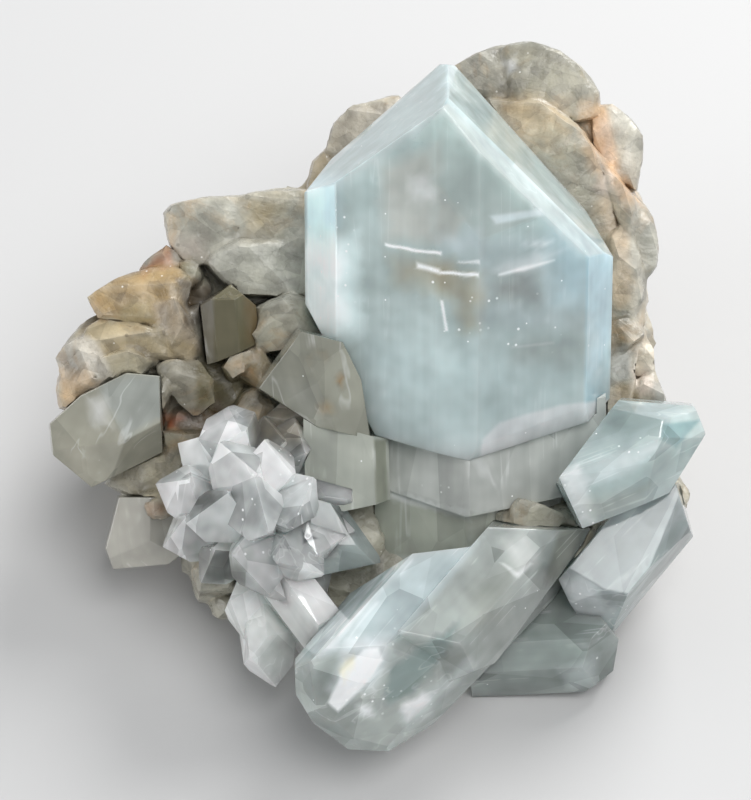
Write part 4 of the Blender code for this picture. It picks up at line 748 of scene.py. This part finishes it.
def rock_material():
    t = Tree("feldspar")
    place = t.coordinates
    facet = t.column("facet")
    block = t.column("block")
    ridge = t.column("ridge")
    hollow = t.column("hollow")
    fine = t.noise(place, 900.0, 5.0, 0.65)
    grain = t.noise(place, 350.0, 4.0, 0.6)
    blotch = t.noise(place, 150.0, 4.0, 0.6, 0.6)

    # grey-green and whitish blocks with tan ones between them
    color = t.ramp(block, ((0.0, (0.34, 0.31, 0.23)), (0.25, (0.44, 0.43, 0.35)), (0.5, (0.5, 0.44, 0.32)),
                           (0.75, (0.5, 0.5, 0.43)), (1.0, (0.58, 0.55, 0.46))))
    tint = t.node("Attribute", attribute_name="tint").outputs["Color"]
    color = t.mix(t.column("tinted"), color, tint)
    color = t.mix(t.remap(blotch, 0.5, 0.8, 0.0, 0.35), color, (0.66, 0.63, 0.56))
    rust = t.remap(t.noise(place, 110.0, 5.0, 0.65, 1.2), 0.56, 0.68)
    color = t.mix(t.math("MULTIPLY", rust, 0.4), color, (0.52, 0.32, 0.14))
    chips = t.node("SeparateColor")
    t.put(chips.inputs["Color"], t.cells(t.place(None, (1.0, 1.0, 1.6)), 520.0))
    large = t.node("SeparateColor")
    t.put(large.inputs["Color"], t.cells(t.place(None, (1.0, 1.4, 1.0)), 190.0))
    shade = t.math("ADD", t.remap(facet, 0.0, 1.0, 0.66, 0.78), t.remap(grain, 0.3, 0.7, -0.2, 0.2))
    shade = t.math("ADD", shade, t.remap(chips.outputs["Red"], 0.0, 1.0, -0.12, 0.12))
    shade = t.math("ADD", shade, t.remap(large.outputs["Red"], 0.0, 1.0, -0.1, 0.1))
    color = t.scale(color, shade)
    # darker in the hollows between the blocks: dirt, with painted shade where they meet
    dirt_and_shade = t.math("MULTIPLY", hollow, t.remap(grain, 0.3, 0.7, 0.2, 1.0))
    color = t.mix(t.math("MULTIPLY", dirt_and_shade, 0.15), color, (0.16, 0.12, 0.07))
    color = t.mix(t.math("MULTIPLY", ridge, 0.12), color, (0.75, 0.73, 0.66))
    specks = t.flecks(place, 700.0, 0.26, 0.12)
    specks = t.math("MULTIPLY", specks, t.remap(t.noise(place, 90.0, 2.0), 0.5, 0.6))
    color = t.mix(t.math("MULTIPLY", specks, 0.8), color, (0.06, 0.05, 0.035))
    glints = t.flecks(place, 1100.0, 0.14, 0.04)
    color = t.mix(t.math("MULTIPLY", glints, 0.6), color, (0.95, 0.93, 0.88))

    normal = t.bump(blotch, 0.6, 0.9 * MM)
    normal = t.bump(large.outputs["Green"], 0.8, 0.35 * MM, normal)
    normal = t.bump(chips.outputs["Green"], 0.8, 0.16 * MM, normal)
    normal = t.bump(fine, 0.7, 0.2 * MM, normal)
    shader = t.principled(
        Base_Color=color,
        Roughness=t.remap(fine, 0.3, 0.7, 0.2, 0.45),
        Normal=normal,
    )
    t.surface(shader.outputs["BSDF"])
    return t.material


rock = rock_shape()
rock.data.materials.append(rock_material())
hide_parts("feldspar_matrix")
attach(rock, "root")


# Floor, light and camera

def studio():
    floor_mesh = bpy.data.meshes.new("floor")
    solid = bmesh.new()
    bmesh.ops.create_grid(solid, x_segments=1, y_segments=1, size=1.5)
    solid.to_mesh(floor_mesh)
    solid.free()
    floor = bpy.data.objects.new("floor", floor_mesh)
    bpy.context.scene.collection.objects.link(floor)
    t = Tree("paper")
    shader = t.principled(Base_Color=(0.55, 0.545, 0.54, 1.0), Roughness=0.8)
    t.surface(shader.outputs["BSDF"])
    floor_mesh.materials.append(t.material)

    def lamp(name, where, size, power, color=(1.0, 1.0, 1.0)):
        data = bpy.data.lights.new(name, "AREA")
        data.shape = "DISK"
        data.size = size
        data.energy = power
        data.color = color
        made = bpy.data.objects.new(name, data)
        made.location = where
        made.rotation_euler = (Vector((0.0, 0.0, 0.02)) - Vector(where)).to_track_quat("-Z", "Y").to_euler()
        bpy.context.scene.collection.objects.link(made)

    lamp("window light", (0.24, 0.37, 0.42), 0.36, 3.6)
    lamp("front light", (0.2, -0.25, 0.62), 0.5, 2.8)
    lamp("left light", (-0.5, -0.12, 0.14), 0.4, 1.2)

    world = bpy.data.worlds.new("studio")
    bpy.context.scene.world = world
    world.use_nodes = True
    world.node_tree.nodes["Background"].inputs["Color"].default_value = (0.9, 0.95, 1.0, 1.0)
    world.node_tree.nodes["Background"].inputs["Strength"].default_value = 0.35


def camera():
    data = bpy.data.cameras.new("camera")
    data.sensor_fit = "VERTICAL"
    data.sensor_height = 36.0
    data.lens = 36.0 * EYE_DISTANCE / (PIXEL * PICTURE[1])
    made = bpy.data.objects.new("camera", data)
    made.matrix_world = Matrix.Translation(VIEW_CENTRE) @ LEAN_BACK @ Matrix.Translation((0, 0, EYE_DISTANCE))
    bpy.context.scene.collection.objects.link(made)
    bpy.context.scene.camera = made


studio()
camera()
bpy.context.scene.view_settings.view_transform = "Standard"
